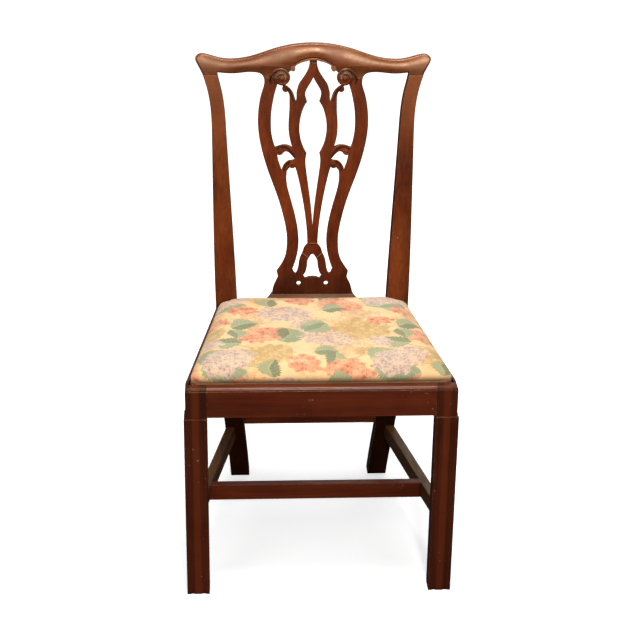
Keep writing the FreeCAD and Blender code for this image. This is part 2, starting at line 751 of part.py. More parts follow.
def back_stretcher(post):
    half_thickness = size("stretcher_thickness") / 2
    reach = foot_inner(size("rail_bottom")) + size("overrun")
    low = Vector(0, back_middle - half_thickness, size("back_stretcher_bottom"))
    high = Vector(reach, back_middle + half_thickness, low.z + size("stretcher_height"))
    half = box(low, high).cut(post)
    half = min(half.Solids, key=lambda solid: solid.BoundBox.XMin)
    half = half.fuse(back_stretcher_tenon(0))
    add_feature("back_stretcher", half.fuse(mirrored(half)).removeSplitter())


def back_posts():
    blank = post_front_view().common(post_side_view())
    post = blank.fuse(post_tenon(0))
    fit = size("joint_clearance")
    cutters = [
        side_rail_tenon(fit),
        back_rail_tenon(fit),
        side_stretcher_tenon(side_back, size("stretcher_tenon_length"), fit),
        back_stretcher_tenon(fit),
    ]
    for cutter in cutters:
        post = post.cut(cutter)
    post = post.removeSplitter()
    for side in (1, -1):
        add_feature(side_names(side) + "_back_post", on_side(post, side))
        side_stretcher(side, blank)
    cross_stretcher()
    back_stretcher(blank)


back_posts()

# Crest rail and pierced splat, drawn upright: X across, Y the depth, Z up along the lean

joint_level = size("shoe_height") + size("splat_length")
scroll_front = size("splat_setback") - size("volute_boss")

# Outlines of the right half: across as shares of the splat's half width, up as shares of its length
splat_base_shares = [(0.745, 0.0), (0.737, 0.02), (0.712, 0.042), (0.675, 0.062), (0.639, 0.08)]
splat_knuckle_shares = [(0.639, 0.08), (0.65, 0.095), (0.664, 0.109)]
splat_outer_shares = [(0.664, 0.109), (0.584, 0.137), (0.508, 0.175), (0.475, 0.222), (0.473, 0.27),
                      (0.519, 0.345), (0.596, 0.42), (0.694, 0.494), (0.804, 0.568), (0.897, 0.642),
                      (0.965, 0.715), (1.0, 0.806), (0.986, 0.86), (0.928, 0.932), (0.88, 0.976),
                      (0.892, 1.0)]
horn_upper_shares = [(0.507, 0.965), (0.429, 0.954), (0.367, 0.935), (0.333, 0.912), (0.312, 0.894)]
middle_strand_shares = [(0.312, 0.894), (0.3, 0.916), (0.299, 0.934), (0.283, 0.951), (0.259, 0.97),
                        (0.214, 0.987), (0.162, 1.006), (0.117, 1.024), (0.084, 1.043),
                        (0.066, 1.069)]

central_top_shares = [(0.0, 1.001), (0.033, 0.985), (0.074, 0.968), (0.117, 0.95), (0.143, 0.932),
                      (0.137, 0.914), (0.109, 0.893)]
central_belly_shares = [(0.109, 0.893), (0.183, 0.86), (0.225, 0.824), (0.246, 0.788), (0.243, 0.751),
                        (0.216, 0.715), (0.158, 0.678), (0.115, 0.658)]
central_foot_shares = [(0.115, 0.658), (0.134, 0.634), (0.124, 0.587), (0.093, 0.531), (0.052, 0.457),
                       (0.018, 0.383), (0.0, 0.317)]
lower_arch_shares = [(0.0, 0.19), (0.059, 0.175), (0.092, 0.156), (0.098, 0.137), (0.112, 0.118),
                     (0.14, 0.099), (0.177, 0.09)]
lower_corner_shares = [(0.177, 0.09), (0.133, 0.075)]
lower_bump_shares = [(0.133, 0.075), (0.071, 0.081), (0.0, 0.083)]

volute_share = (0.561, 1.0)
volute_foot_share = (0.63, 0.983)
horn_share = (0.503, 0.95)
high_scroll_share = (0.607, 0.668)
low_scroll_share = (0.378, 0.608)
hole_share = (0.254, 0.051)

upper_outer_shares = [(0.67, 0.95), (0.692, 0.932), (0.724, 0.896), (0.749, 0.86), (0.762, 0.815),
                      (0.753, 0.751), (0.726, 0.715), (0.689, 0.687)]
upper_foot_shares = [(0.583, 0.696), (0.516, 0.698), (0.433, 0.694), (0.378, 0.686)]
upper_inner_shares = [(0.378, 0.686), (0.414, 0.715), (0.44, 0.751), (0.445, 0.788), (0.438, 0.824),
                      (0.428, 0.86), (0.428, 0.896), (0.431, 0.919), (0.454, 0.935)]
small_outer_shares = [(0.663, 0.667), (0.641, 0.642), (0.625, 0.623), (0.602, 0.605), (0.568, 0.582)]
small_foot_shares = [(0.568, 0.582), (0.515, 0.61), (0.435, 0.625), (0.38, 0.627)]
small_top_shares = [(0.321, 0.631), (0.402, 0.653), (0.484, 0.667), (0.548, 0.659)]
tall_top_shares = [(0.426, 0.594), (0.474, 0.578), (0.482, 0.551)]
tall_outer_shares = [(0.482, 0.551), (0.469, 0.513), (0.413, 0.457), (0.332, 0.383), (0.272, 0.307),
                     (0.258, 0.27), (0.259, 0.232), (0.267, 0.213), (0.296, 0.175), (0.336, 0.142),
                     (0.371, 0.12)]
tall_foot_shares = [(0.371, 0.12), (0.339, 0.102), (0.305, 0.098)]
tall_inner_shares = [(0.305, 0.098), (0.27, 0.118), (0.255, 0.137), (0.245, 0.156), (0.224, 0.175),
                     (0.187, 0.194), (0.164, 0.213), (0.11, 0.232)]
tall_stem_shares = [(0.094, 0.237), (0.098, 0.27), (0.125, 0.345), (0.168, 0.42), (0.223, 0.494),
                    (0.291, 0.568), (0.318, 0.592)]

# The crest rail: across as shares of its half width, up from the posts as shares of its rise
crest_top_shares = [(0.0, 1.0), (0.201, 0.933), (0.351, 0.794), (0.452, 0.667), (0.552, 0.56),
                    (0.628, 0.512), (0.703, 0.495), (0.778, 0.517), (0.854, 0.588), (0.904, 0.638),
                    (0.95, 0.659), (0.983, 0.616), (1.0, 0.526), (0.994, 0.418), (0.975, 0.279),
                    (0.951, 0.108), (0.938, 0.0)]
crest_under_shares = [(0.813, 0.082), (0.778, 0.067), (0.711, 0.048), (0.644, 0.054), (0.577, 0.082),
                      (0.536, 0.09), (0.494, 0.084), (0.46, 0.056), (0.439, 0.008), (0.423, -0.084)]
arch_shares = [(0.157, 0.24), (0.149, 0.31), (0.1, 0.399), (0.031, 0.474)]
knob_share = (0.174, 0.193)


def splat_point(share):
    across, up = share
    return Vector(across * size("splat_half_width"), 0, size("shoe_height") + up * size("splat_length"))


def crest_point(share):
    across, up = share
    return Vector(across * size("crest_half_width"), 0, size("post_length") + up * size("crest_rise"))


def run(shares, point):
    """A curve through a table of shares, or straight lines where the table is short."""
    points = [point(share) for share in shares]
    return [curve(points)] if len(points) > 3 else polyline(points)


def both_halves(shares):
    """A table that starts on the middle line, carried on into the left half."""
    return [(-across, up) for across, up in reversed(shares[1:])] + shares


def with_left_half(edges):
    return edges + [mirrored(edge) for edge in edges]


def sawn(edges, front, back):
    """Solid between two depths whose outline is made of the given edges."""
    solid = prism(edges, Vector(0, back - front, 0))
    solid.translate(Vector(0, front, 0))
    return solid


def opening(edges):
    return sawn(edges, -size("overrun"), size("crest_thickness") + size("overrun"))


def disc(centre, radius, front, back):
    return Part.makeCylinder(radius, back - front, Vector(centre.x, front, centre.z), Vector(0, 1, 0))


def splat_outline():
    centre = splat_point(volute_share)
    edges = run(splat_base_shares, splat_point)
    edges += run(splat_knuckle_shares, splat_point)
    edges += run(splat_outer_shares, splat_point)
    edges += polyline([splat_point(splat_outer_shares[-1]), centre, splat_point(horn_upper_shares[0])])
    edges += run(horn_upper_shares, splat_point)
    edges += run(middle_strand_shares, splat_point)
    edges = with_left_half(edges)
    for end in (splat_point(splat_base_shares[0]), splat_point(middle_strand_shares[-1])):
        edges.append(line(end, Vector(-end.x, 0, end.z)))
    return edges


def splat_openings():
    central = run(central_top_shares, splat_point)
    central += run(central_belly_shares, splat_point)
    central += run(central_foot_shares, splat_point)
    lower = run(both_halves(lower_arch_shares), splat_point)
    lower += with_left_half(run(lower_corner_shares, splat_point))
    lower += run(both_halves(list(reversed(lower_bump_shares))), splat_point)
    upper = run(upper_outer_shares, splat_point)
    upper += polyline([splat_point(upper_outer_shares[-1]), splat_point(upper_foot_shares[0])])
    upper += run(upper_foot_shares, splat_point) + run(upper_inner_shares, splat_point)
    upper += polyline([splat_point(share) for share in (upper_inner_shares[-1], horn_share,
                                                        volute_foot_share, upper_outer_shares[0])])
    small = run(small_outer_shares, splat_point) + run(small_foot_shares, splat_point)
    small += polyline([splat_point(small_foot_shares[-1]), splat_point(small_top_shares[0])])
    small += run(small_top_shares, splat_point)
    small += polyline([splat_point(share) for share in (small_top_shares[-1], high_scroll_share,
                                                        small_outer_shares[0])])
    tall = run(tall_top_shares, splat_point) + run(tall_outer_shares, splat_point)
    tall += run(tall_foot_shares, splat_point) + run(tall_inner_shares, splat_point)
    tall += polyline([splat_point(tall_inner_shares[-1]), splat_point(tall_stem_shares[0])])
    tall += run(tall_stem_shares, splat_point)
    tall += polyline([splat_point(share) for share in (tall_stem_shares[-1], low_scroll_share,
                                                       tall_top_shares[0])])
    hole = disc(splat_point(hole_share), size("splat_hole_radius"), 0, size("crest_thickness"))
    shapes = [opening(with_left_half(central)), opening(lower)]
    for shape in (opening(upper), opening(small), opening(tall), hole):
        shapes += [shape, mirrored(shape)]
    return shapes


# The bead of a large scroll starts on the outer strand and winds in on the disc
bead_start_angle = -20.0
bead_turn = 500.0
bead_radius_shares = (1.62, 1.4, 1.17, 1.0, 0.9, 0.85, 0.81, 0.77, 0.7, 0.61, 0.51)
bead_rise_share = 0.2


def volute_bead():
    centre = splat_point(volute_share)
    sunk = size("splat_setback") + size("volute_bead")
    points = []
    for index, reach_share in enumerate(bead_radius_shares):
        share = index / (len(bead_radius_shares) - 1)
        angle = math.radians(bead_start_angle + bead_turn * share)
        reach = size("volute_radius") * reach_share
        to_go = max(0, 1 - share / bead_rise_share)
        depth = scroll_front + (sunk - scroll_front) * to_go ** 2
        points.append(Vector(centre.x + reach * math.cos(angle), depth, centre.z + reach * math.sin(angle)))
    return tube(points, size("volute_bead"))


def tube(points, radius):
    path = Part.Wire([curve(points)])
    ring = Part.Circle(points[0], path.Edges[0].tangentAt(0), radius).toShape()
    return path.makePipeShell([Part.Wire([ring])], True, True)


def volute():
    centre = splat_point(volute_share)
    back = size("splat_setback") + size("splat_thickness")
    ground = disc(centre, size("volute_radius"), scroll_front, back)
    dome = 2 * size("volute_bead")
    button = Part.makeSphere(size("volute_button"), Vector(centre.x, scroll_front, centre.z))
    reach = Vector(dome, size("volute_bead"), dome)
    button = button.common(box(button.BoundBox.Center - reach, button.BoundBox.Center + reach))
    return ground.fuse([volute_bead(), button])


def half_space(low, high):
    """Everything near the back between two heights along the lean."""
    wide = size("front_width")
    return box(Vector(-wide, -wide, low), Vector(wide, wide, high))


def strand_tenons(clearance):
    """Tenons of the splat's three strands into the crest rail."""
    margin = size("splat_tenon_margin")
    middle = size("splat_setback") + size("splat_thickness") / 2
    half = size("splat_tenon_thickness") / 2
    strand = splat_point(splat_outer_shares[-1])
    centre = splat_point(volute_share)
    top = splat_point(middle_strand_shares[-1])
    rise = size("splat_tenon_length")
    outer = clearance_box(Vector(centre.x + margin, middle - half, joint_level - size("overrun")),
                          Vector(strand.x - margin, middle + half, joint_level + rise), clearance)
    inner = clearance_box(Vector(margin - top.x, middle - half, top.z - size("overrun")),
                          Vector(top.x - margin, middle + half, top.z + rise), clearance)
    return [outer, mirrored(outer), inner]


def splat_foot(clearance):
    """The splat's foot in the shoe."""
    across = splat_point(splat_base_shares[0]).x - size("splat_tenon_margin")
    level = size("shoe_height")
    front = size("splat_setback")
    return clearance_box(Vector(-across, front, level - size("splat_foot_depth")),
                         Vector(across, front + size("splat_thickness"), level + clearance), clearance)


scroll_button_share = 0.65


def curled_end(share, radius):
    """End of a small scroll, with a domed button in its middle."""
    front = size("splat_setback") - size("scroll_boss")
    ball = scroll_button_share * radius
    middle = splat_point(share) + Vector(0, front - size("scroll_dome") + ball, 0)
    end = disc(splat_point(share), radius, front, size("splat_setback") + size("splat_thickness"))
    return [end, Part.makeSphere(ball, middle)]


def splat(scrolls):
    back = size("splat_setback") + size("splat_thickness")
    shape = sawn(splat_outline(), size("splat_setback"), back)
    for cutter in splat_openings():
        shape = shape.cut(cutter)
    ends = curled_end(horn_share, size("horn_radius"))
    for share in (high_scroll_share, low_scroll_share):
        ends += curled_end(share, size("scroll_radius"))
    below = scrolls.common(half_space(0, joint_level))
    shape = shape.fuse(with_left_half(ends) + [below, mirrored(below)])
    shape = shape.fuse(strand_tenons(0) + [splat_foot(0)])
    add_feature("splat", lean(shape.removeSplitter()))


def dish():
    """Hollow of the crest rail that runs down to the face of the splat's outer strand."""
    sink = size("splat_setback")
    radius = (size("dish_reach") ** 2 + sink ** 2) / (2 * sink)
    start = splat_point(volute_share)
    end = splat_point(splat_outer_shares[-1])
    start.y = sink - radius
    end.y = sink - radius
    ends = [Part.makeSphere(radius, start), Part.makeSphere(radius, end)]
    return Part.makeCylinder(radius, end.x - start.x, start, Vector(1, 0, 0)).fuse(ends)


def crest_outline():
    post_outer = crest_point(crest_top_shares[-1])
    under = [crest_point(share) for share in crest_under_shares]
    under[-1].z = joint_level
    post_inner = Vector(under[0].x, 0, size("post_length"))
    centre = splat_point(volute_share)
    knob = crest_point(knob_share)
    rim = centre + (knob - centre).normalize() * size("volute_radius")
    arch = [crest_point(share) for share in arch_shares]
    tongue = splat_point(middle_strand_shares[-1])
    edges = polyline([post_outer, post_inner, under[0]]) + [curve(under)]
    edges += polyline([under[-1], centre, rim, knob, arch[0]]) + [curve(arch)]
    edges += polyline([arch[-1], Vector(tongue.x, 0, tongue.z)])
    edges = with_left_half(edges)
    edges.append(line(tongue, Vector(-tongue.x, 0, tongue.z)))
    return edges + run(both_halves(crest_top_shares), crest_point)


# The crowned face of the crest rail: its lower edge, the line it is highest on and its upper edge
face_shares = [(0.0, 0.45, 0.74, 1.0), (0.17, 0.2, 0.6, 0.945), (0.35, 0.0, 0.42, 0.795),
               (0.5, 0.04, 0.34, 0.61), (0.65, 0.03, 0.28, 0.5), (0.78, -0.15, 0.26, 0.52),
               (0.9, -0.4, 0.3, 0.64), (1.06, -0.5, 0.3, 0.64)]
face_steps = (-1.4, -1.0, -0.5, 0.0, 0.5, 1.0, 1.4)


def crest_face():
    """Everything in front of the crest rail's crowned face."""
    columns = []
    for across, lower, middle, upper in face_shares:
        column = []
        for step in face_steps:
            reach = upper - middle if step > 0 else middle - lower
            point = crest_point((across, middle + step * reach))
            column.append(Vector(point.x, size("crest_crown") * step ** 2, point.z))
        columns.append(column)
    left = [[Vector(-point.x, point.y, point.z) for point in column] for column in reversed(columns[1:])]
    surface = Part.BSplineSurface()
    surface.interpolate(left + columns)
    return surface.toShape().extrude(Vector(0, -size("crest_thickness"), 0))


def crest_rail(scrolls):
    shape = sawn(crest_outline(), -size("overrun"), size("crest_thickness")).cut(crest_face())
    shape = shape.removeSplitter()
    long_edges = sorted(shape.Edges, key=lambda edge: edge.Length)[-6:]
    shape = shape.makeFillet(size("crest_round"), long_edges)
    hollow = dish()
    shape = shape.cut([hollow, mirrored(hollow)])
    knob = disc(crest_point(knob_share), size("knob_radius"), size("knob_setback"),
                size("crest_thickness"))
    above = scrolls.common(half_space(joint_level, 2 * joint_level))
    shape = shape.fuse([knob, mirrored(knob), above, mirrored(above)])
    shape = lean(shape.cut(strand_tenons(size("joint_clearance"))).removeSplitter())
    for side in (1, -1):
        shape = shape.cut(on_side(post_tenon(size("joint_clearance")), side))
    add_feature("crest_rail", shape)


scrolls = volute()
splat(scrolls)
crest_rail(scrolls)

# Shoe: the moulding on the back seat rail that holds the splat's foot


shoe_sag_share = 0.15


def cove(low, high):
    """Arc from a low outer corner to a high inner one, hollow by a share of its chord."""
    chord = high - low
    inward = math.copysign(shoe_sag_share, chord.x)
    middle = (low + high) / 2 + Vector(chord.z, 0, -chord.x) * inward
    return Part.Arc(low, middle, high).toShape()


def shoe():
    below = Vector(0, 0, -2 * size("overrun"))
    ends = [Vector(size("shoe_half_width"), 0, size("shoe_fillet")),
            Vector(size("shoe_top_half_width"), 0, size("shoe_height"))]
    corners = [ends[0], Vector(ends[0].x, 0, below.z), Vector(0, 0, below.z),
               Vector(0, 0, ends[1].z), ends[1]]
    front_view = sawn(polyline(corners) + [cove(ends[0], ends[1])],
                      -size("overrun"), size("shoe_depth"))
    lip = size("splat_setback") - size("shoe_lip")
    low = Vector(-size("shoe_setback"), 0, size("shoe_fillet"))
    high = Vector(lip, 0, size("shoe_height"))
    corners = [low, Vector(low.x, 0, below.z), Vector(size("shoe_depth"), 0, below.z),
               Vector(size("shoe_depth"), 0, high.z), high]
    side_view = prism(polyline(corners) + [cove(low, high)],
                      Vector(0, size("shoe_half_width"), 0))
    side_view.rotate(floor, Vector(0, 0, 1), 90)
    side_view = side_view.mirror(floor, mirror_plane)
    half = front_view.common(side_view)
    block = half.fuse(mirrored(half)).removeSplitter()
    block = lean(block.cut(splat_foot(size("joint_clearance"))))
    wide = size("front_width")
    above = box(Vector(-wide, 0, size("rail_top")), Vector(wide, size("overall_depth"), 2 * size("rail_top")))
    add_feature("shoe", block.common(above))


shoe()

# Corner blocks under the drop-in seat, each screwed to its two rails


def side_rail_line(back):
    return size("side_rail_inner") - (back - size("leg_width")) * size("side_slope")


def corner_block_plans():
    reach = size("block_reach")
    front = size("leg_width") + reach
    back = size("post_front") - reach
    low = size("block_bottom")
    front_plan = [
        Vector(size("leg_inner") - reach, size("front_rail_back"), low),
        Vector(size("leg_inner"), size("front_rail_back"), low),
        Vector(size("leg_inner"), size("leg_width"), low),
        Vector(side_rail_line(size("leg_width")), size("leg_width"), low),
        Vector(side_rail_line(front), front, low),
    ]
    back_plan = [
        Vector(size("post_inner") - reach, size("back_rail_front"), low),
        Vector(size("post_inner"), size("back_rail_front"), low),
        Vector(side_rail_line(size("back_rail_front")), size("back_rail_front"), low),
        Vector(side_rail_line(back), back, low),
    ]
    return {"front": front_plan, "back": back_plan}


def screw_places():
    """For each corner, where its two screws leave the rails and which way they point inward."""
    level = (size("block_bottom") + size("block_top")) / 2
    across = Vector(-1, -size("side_slope"), 0).normalize()
    offset = size("screw_offset")
    front = size("leg_width") + offset
    back = size("back_rail_front") - offset
    return {
        "front": [
            (Vector(size("leg_inner") - offset, size("front_rail_back"), level), Vector(0, 1, 0)),
            (Vector(side_rail_line(front), front, level), across),
        ],
        "back": [
            (Vector(size("post_inner") - offset, size("back_rail_front"), level), Vector(0, -1, 0)),
            (Vector(side_rail_line(back), back, level), across),
        ],
    }


def screw(place, way):
    shank_start = place - way * size("screw_bite")
    head_seat = place + way * size("screw_cover")
    length = size("screw_bite") + size("screw_cover")
    shank = Part.makeCylinder(size("screw_radius"), length, shank_start, way)
    head = Part.makeCylinder(size("screw_head_radius"), size("screw_head_depth"), head_seat, way)
    return shank.fuse(head).removeSplitter()


def screw_hole(place, way):
    gap = size("screw_clearance")
    shank = Part.makeCylinder(size("screw_radius") + gap, size("screw_cover"), place, way)
    head_seat = place + way * size("screw_cover")
    well = Part.makeCylinder(size("screw_head_radius") + gap, size("block_reach"), head_seat, way)
    return shank.fuse(well)


def corner_blocks():
    places = screw_places()
    screws = []
    for corner, plan in corner_block_plans().items():
        block = prism(polyline(plan + plan[:1]), Vector(0, 0, size("block_height")))
        for place, way in places[corner]:
            block = block.cut(screw_hole(place, way))
            screws.append(screw(place, way))
        for side in (1, -1):
            add_feature("%s_%s_corner_block" % (corner, side_names(side)), on_side(block, side))
    screws += [mirrored(one) for one in screws]
    add_feature("corner_block_screws", Part.Compound(screws))


corner_blocks()

# Drop-in seat. Every outline of it is the opening's outline, set in by the clearance and an inset.


# How much a corner's radius grows with the inset
front_growth_share = 0.6
back_growth_share = 0.3
seat_tenon_share = 0.75


def seat_corners(inset, level):
    gap = size("seat_clearance") + inset
    front = size("front_rim_line") + gap
    back = size("seat_back_line") - size("seat_clearance") - max(0, inset)
    corners = []
    for place in (front, back):
        run_in = (place - size("leg_width")) * size("side_slope") + gap * size("side_stretch")
        corners.append(Vector(size("side_rim_inner") - run_in, place, level))
    return corners + [Vector(-corners[1].x, back, level), Vector(-corners[0].x, front, level)]


def rounded_loop(corners, radii):
    """Closed outline whose corners are rounded."""
    arcs = []
    for index, corner in enumerate(corners):
        before = (corners[index - 1] - corner).normalize()
        after = (corners[(index + 1) % len(corners)] - corner).normalize()
        half_angle = before.getAngle(after) / 2
        reach = radii[index] / math.tan(half_angle)
        sag = radii[index] / math.sin(half_angle) - radii[index]
        middle = corner + (before + after).normalize() * sag
        arcs.append((corner + before * reach, middle, corner + after * reach))
    edges = []
    for index, (start, middle, end) in enumerate(arcs):
        following = arcs[(index + 1) % len(arcs)]
        edges.append(Part.Arc(start, middle, end).toShape())
        edges.append(line(end, following[0]))
    return Part.Wire(edges)


def seat_loop(inset, level):
    front = size("seat_front_radius") + front_growth_share * inset
    back = size("seat_back_radius") + back_growth_share * inset
    return rounded_loop(seat_corners(inset, level), [front, back, back, front])


def seat_slab(inset, low, high):
    return Part.Face(seat_loop(inset, low)).extrude(Vector(0, 0, high - low))


def slice_of(shape, front, back):
    wide = size("front_width")
    return shape.common(box(Vector(-wide, front, 0), Vector(wide, back, 2 * size("rail_top"))))


def seat_frame():
    skin = size("cover_thickness")
    width = size("seat_frame_width")
    slab = seat_slab(skin, size("frame_bottom"), size("frame_top"))
    corners = seat_corners(skin, size("frame_bottom"))
    front = corners[0].y + width
    back = corners[1].y - width
    third = size("seat_frame_thickness") / 3
    front_rail = slice_of(slab, 0, front)
    back_rail = slice_of(slab, back, size("overall_depth"))
    inner_line = [corner - Vector(width * size("side_stretch"), 0, 0) for corner in corners[:2]]
    outside = [inner_line[0], corners[0] + Vector(width, 0, 0), corners[1] + Vector(width, 0, 0),
               inner_line[1]]
    side_region = prism(polyline(outside + outside[:1]), Vector(0, 0, size("seat_frame_thickness")))
    side_rail = slice_of(slab.common(side_region), front, back)
    tenons = []
    for place, way in ((front, -1), (back, 1)):
        share = (place - corners[0].y) / (corners[1].y - corners[0].y)
        inner = inner_line[0] + (inner_line[1] - inner_line[0]) * share
        tip = place + way * size("seat_frame_tenon")
        near = place - way * size("overrun")
        low = Vector(inner.x + size("overrun"), min(tip, near), size("frame_bottom") + third)
        high = Vector(inner.x + seat_tenon_share * width, max(tip, near), size("frame_top") - third)
        tenons.append((low, high))
    for low, high in tenons:
        side_rail = side_rail.fuse(box(low, high))
        mortise = clearance_box(low, high, size("joint_clearance"))
        front_rail = front_rail.cut([mortise, mirrored(mortise)])
        back_rail = back_rail.cut([mortise, mirrored(mortise)])
    add_feature("seat_frame_front", front_rail)
    add_feature("seat_frame_back", back_rail)
    for side in (1, -1):
        add_feature("seat_frame_" + side_names(side), on_side(side_rail.removeSplitter(), side))


def seat_webbing():
    thickness = size("webbing_thickness")
    margin = size("cover_thickness") + size("webbing_margin")
    corners = seat_corners(margin, size("frame_top"))
    half = size("webbing_width") / 2
    pitch = size("webbing_width") + size("webbing_gap")
    middle = (corners[0].y + corners[1].y) / 2
    straps = []
    for step in (-1, 0, 1):
        low = Vector(step * pitch - half, corners[0].y, size("frame_top"))
        high = Vector(step * pitch + half, corners[1].y, size("frame_top") + thickness)
        straps.append(box(low, high))
        place = middle + step * pitch
        share = (place + half - corners[0].y) / (corners[1].y - corners[0].y)
        reach = corners[0].x + (corners[1].x - corners[0].x) * share
        low = Vector(-reach, place - half, size("frame_top") + thickness)
        straps.append(box(low, Vector(reach, place + half, size("hessian_bottom"))))
    add_feature("seat_webbing", Part.Compound(straps))


# The cushion swells over the rims at its front and sides and then rounds over to its crown.
# Shares of its rise, and how far in from its edge as shares of its crown.
crown_shares = [(0.0, 0.0), (0.13, -0.077), (0.292, -0.084), (0.471, 0.016), (0.633, 0.171),
                (0.769, 0.419), (0.87, 0.806), (0.942, 1.387), (0.981, 2.129), (1.0, 2.968)]


def crowned(inset, bottom, top):
    """Solid with swelling sides and a domed top."""
    loops = []
    for up, inward in crown_shares:
        loops.append(seat_loop(inset + inward * size("seat_crown"), bottom + up * (top - bottom)))
    return Part.makeLoft(loops, True, False, False, 3)


def seat_upholstery():
    skin = size("cover_thickness")
    top = size("rail_top") + size("seat_crown")
    base = size("stuffing_bottom")
    hessian = seat_slab(skin + size("hessian_margin"), size("hessian_bottom"), base)
    add_feature("seat_hessian", hessian)
    stuffing = crowned(skin, base, top - skin)
    outside = crowned(0, base, top).fuse(seat_slab(0, size("ledge_level"), base))
    inside = seat_slab(skin, size("frame_bottom"), base).fuse(stuffing)
    hem = seat_slab(skin + size("hem_width"), size("ledge_level"), size("frame_bottom"))
    add_feature("seat_stuffing", stuffing)
    add_feature("seat_cover", outside.cut([inside, hem]).removeSplitter())
    lining = skin + size("hem_width") - size("hem_lap")
    below = size("ledge_level") - size("dust_cover_thickness")
    add_feature("seat_dust_cover", seat_slab(lining, below, size("ledge_level")))


def tack(x, y):
    under = size("ledge_level") - size("dust_cover_thickness") - size("tack_head")
    head = Part.makeCylinder(size("tack_head_radius"), size("tack_head"), Vector(x, y, under))
    length = size("tack_head") + size("tack_length")
    shank = Part.makeCylinder(size("tack_shank_radius"), length, Vector(x, y, under))
    return head.fuse(shank).removeSplitter()


def seat_tacks():
    inset = size("cover_thickness") + size("hem_width") - size("hem_lap") / 2
    front_right, back_right, back_left, front_left = seat_corners(inset, 0)
    tacks = []
    for start, end in ((front_left, front_right), (back_left, back_right), (front_right, back_right)):
        count = int(start.distanceToPoint(end) / size("tack_spacing"))
        for index in range(count):
            place = start + (end - start) * ((index + 1) / (count + 1))
            tacks.append(tack(place.x, place.y))
            if start == front_right:
                tacks.append(tack(-place.x, place.y))
    add_feature("seat_tacks", Part.Compound(tacks))


seat_frame()
seat_webbing()
seat_upholstery()
seat_tacks()

# Everything moves to the origin, is checked and is written

for feature in nodes.values():
    feature.setExpression("Placement.Base.y", "-sizes.overall_depth / 2")
doc.recompute()

for item in doc.Objects:
    if "Invalid" in item.State or "Error" in item.State:
        raise RuntimeError(item.Label + " is not computed")
for label, feature in nodes.items():
    if feature.Shape.isNull() or not feature.Shape.isValid():
        raise RuntimeError(label + " has no valid shape")

os.makedirs("parts", exist_ok=True)
for label, feature in nodes.items():
    feature.Shape.exportStep(os.path.join("parts", label + ".step"))
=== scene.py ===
import json
import math

import bpy
import numpy as np
from mathutils import Matrix, Vector

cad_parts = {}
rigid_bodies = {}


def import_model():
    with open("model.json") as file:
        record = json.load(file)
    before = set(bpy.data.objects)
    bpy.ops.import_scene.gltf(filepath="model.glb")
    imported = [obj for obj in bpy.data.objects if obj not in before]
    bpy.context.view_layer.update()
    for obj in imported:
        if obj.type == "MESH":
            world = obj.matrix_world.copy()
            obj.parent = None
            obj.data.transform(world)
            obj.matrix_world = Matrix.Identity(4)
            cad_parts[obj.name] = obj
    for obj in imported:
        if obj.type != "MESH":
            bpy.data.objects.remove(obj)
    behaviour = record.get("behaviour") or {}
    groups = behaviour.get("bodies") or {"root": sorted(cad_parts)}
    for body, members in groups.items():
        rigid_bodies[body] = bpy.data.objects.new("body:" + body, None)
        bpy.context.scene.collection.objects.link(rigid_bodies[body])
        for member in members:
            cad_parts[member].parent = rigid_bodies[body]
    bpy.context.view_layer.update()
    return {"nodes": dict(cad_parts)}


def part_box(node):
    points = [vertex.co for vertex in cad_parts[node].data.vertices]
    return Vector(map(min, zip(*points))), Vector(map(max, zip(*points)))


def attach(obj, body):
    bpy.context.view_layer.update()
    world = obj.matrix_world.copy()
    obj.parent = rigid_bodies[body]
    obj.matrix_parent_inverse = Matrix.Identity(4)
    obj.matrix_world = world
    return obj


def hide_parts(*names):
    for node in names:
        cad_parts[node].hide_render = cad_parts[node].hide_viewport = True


for thing in list(bpy.data.objects):      # the start-up cube, lamp and camera
    bpy.data.objects.remove(thing)

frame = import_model()
nodes = frame["nodes"]
print("frame loaded:", len(nodes), "nodes")


# helpers for nodes and meshes

def tint(red, green, blue):
    # a colour as the eye reads it, 0 to 255, turned into Blender's linear values
    shares = np.array([red, green, blue]) / 255
    linear = np.where(shares <= 0.04045, shares / 12.92, ((shares + 0.055) / 1.055) ** 2.4)
    return (*linear.tolist(), 1.0)


def feed(tree, node, feeds):
    # gives each input of a node its value, or the socket that it comes from
    for socket, value in feeds.items():
        if isinstance(value, bpy.types.NodeSocket):
            tree.links.new(value, node.inputs[socket])
        else:
            node.inputs[socket].default_value = value
    return node


def addNode(tree, kind, feeds=None, **settings):
    node = tree.nodes.new("ShaderNode" + kind)
    for key, value in settings.items():
        setattr(node, key, value)
    return feed(tree, node, feeds or {})


def calc(tree, operation, first, second=0.0, third=0.0, clamp=False):
    feeds = {0: first, 1: second, 2: third}
    return addNode(tree, "Math", feeds, operation=operation, use_clamp=clamp).outputs[0]


def times(tree, first, second):
    return calc(tree, "MULTIPLY", first, second)


def minus(tree, first, second, clamp=False):
    return calc(tree, "SUBTRACT", first, second, clamp=clamp)


def calcVector(tree, operation, first, second=(0.0, 0.0, 0.0), third=(0.0, 0.0, 0.0)):
    node = addNode(tree, "VectorMath", {0: first, 1: second, 2: third}, operation=operation)
    return node.outputs["Value" if operation in ("LENGTH", "DOT_PRODUCT", "DISTANCE") else "Vector"]


def scaled(tree, vector, factor):
    return addNode(tree, "VectorMath", {0: vector, "Scale": factor}, operation="SCALE").outputs[0]


def axesOf(tree, vector):
    return addNode(tree, "SeparateXYZ", {"Vector": vector}).outputs


def objectPlace(tree):
    return addNode(tree, "TexCoord").outputs["Object"]


def mixColour(tree, factor, first, second, blend="MIX"):
    # each colour is a socket, or an ink of three numbers
    first, second = (tint(*ink) if isinstance(ink, (tuple, list)) else ink for ink in (first, second))
    feeds = {0: factor, 6: first, 7: second}
    return addNode(tree, "Mix", feeds, data_type="RGBA", blend_type=blend).outputs[2]


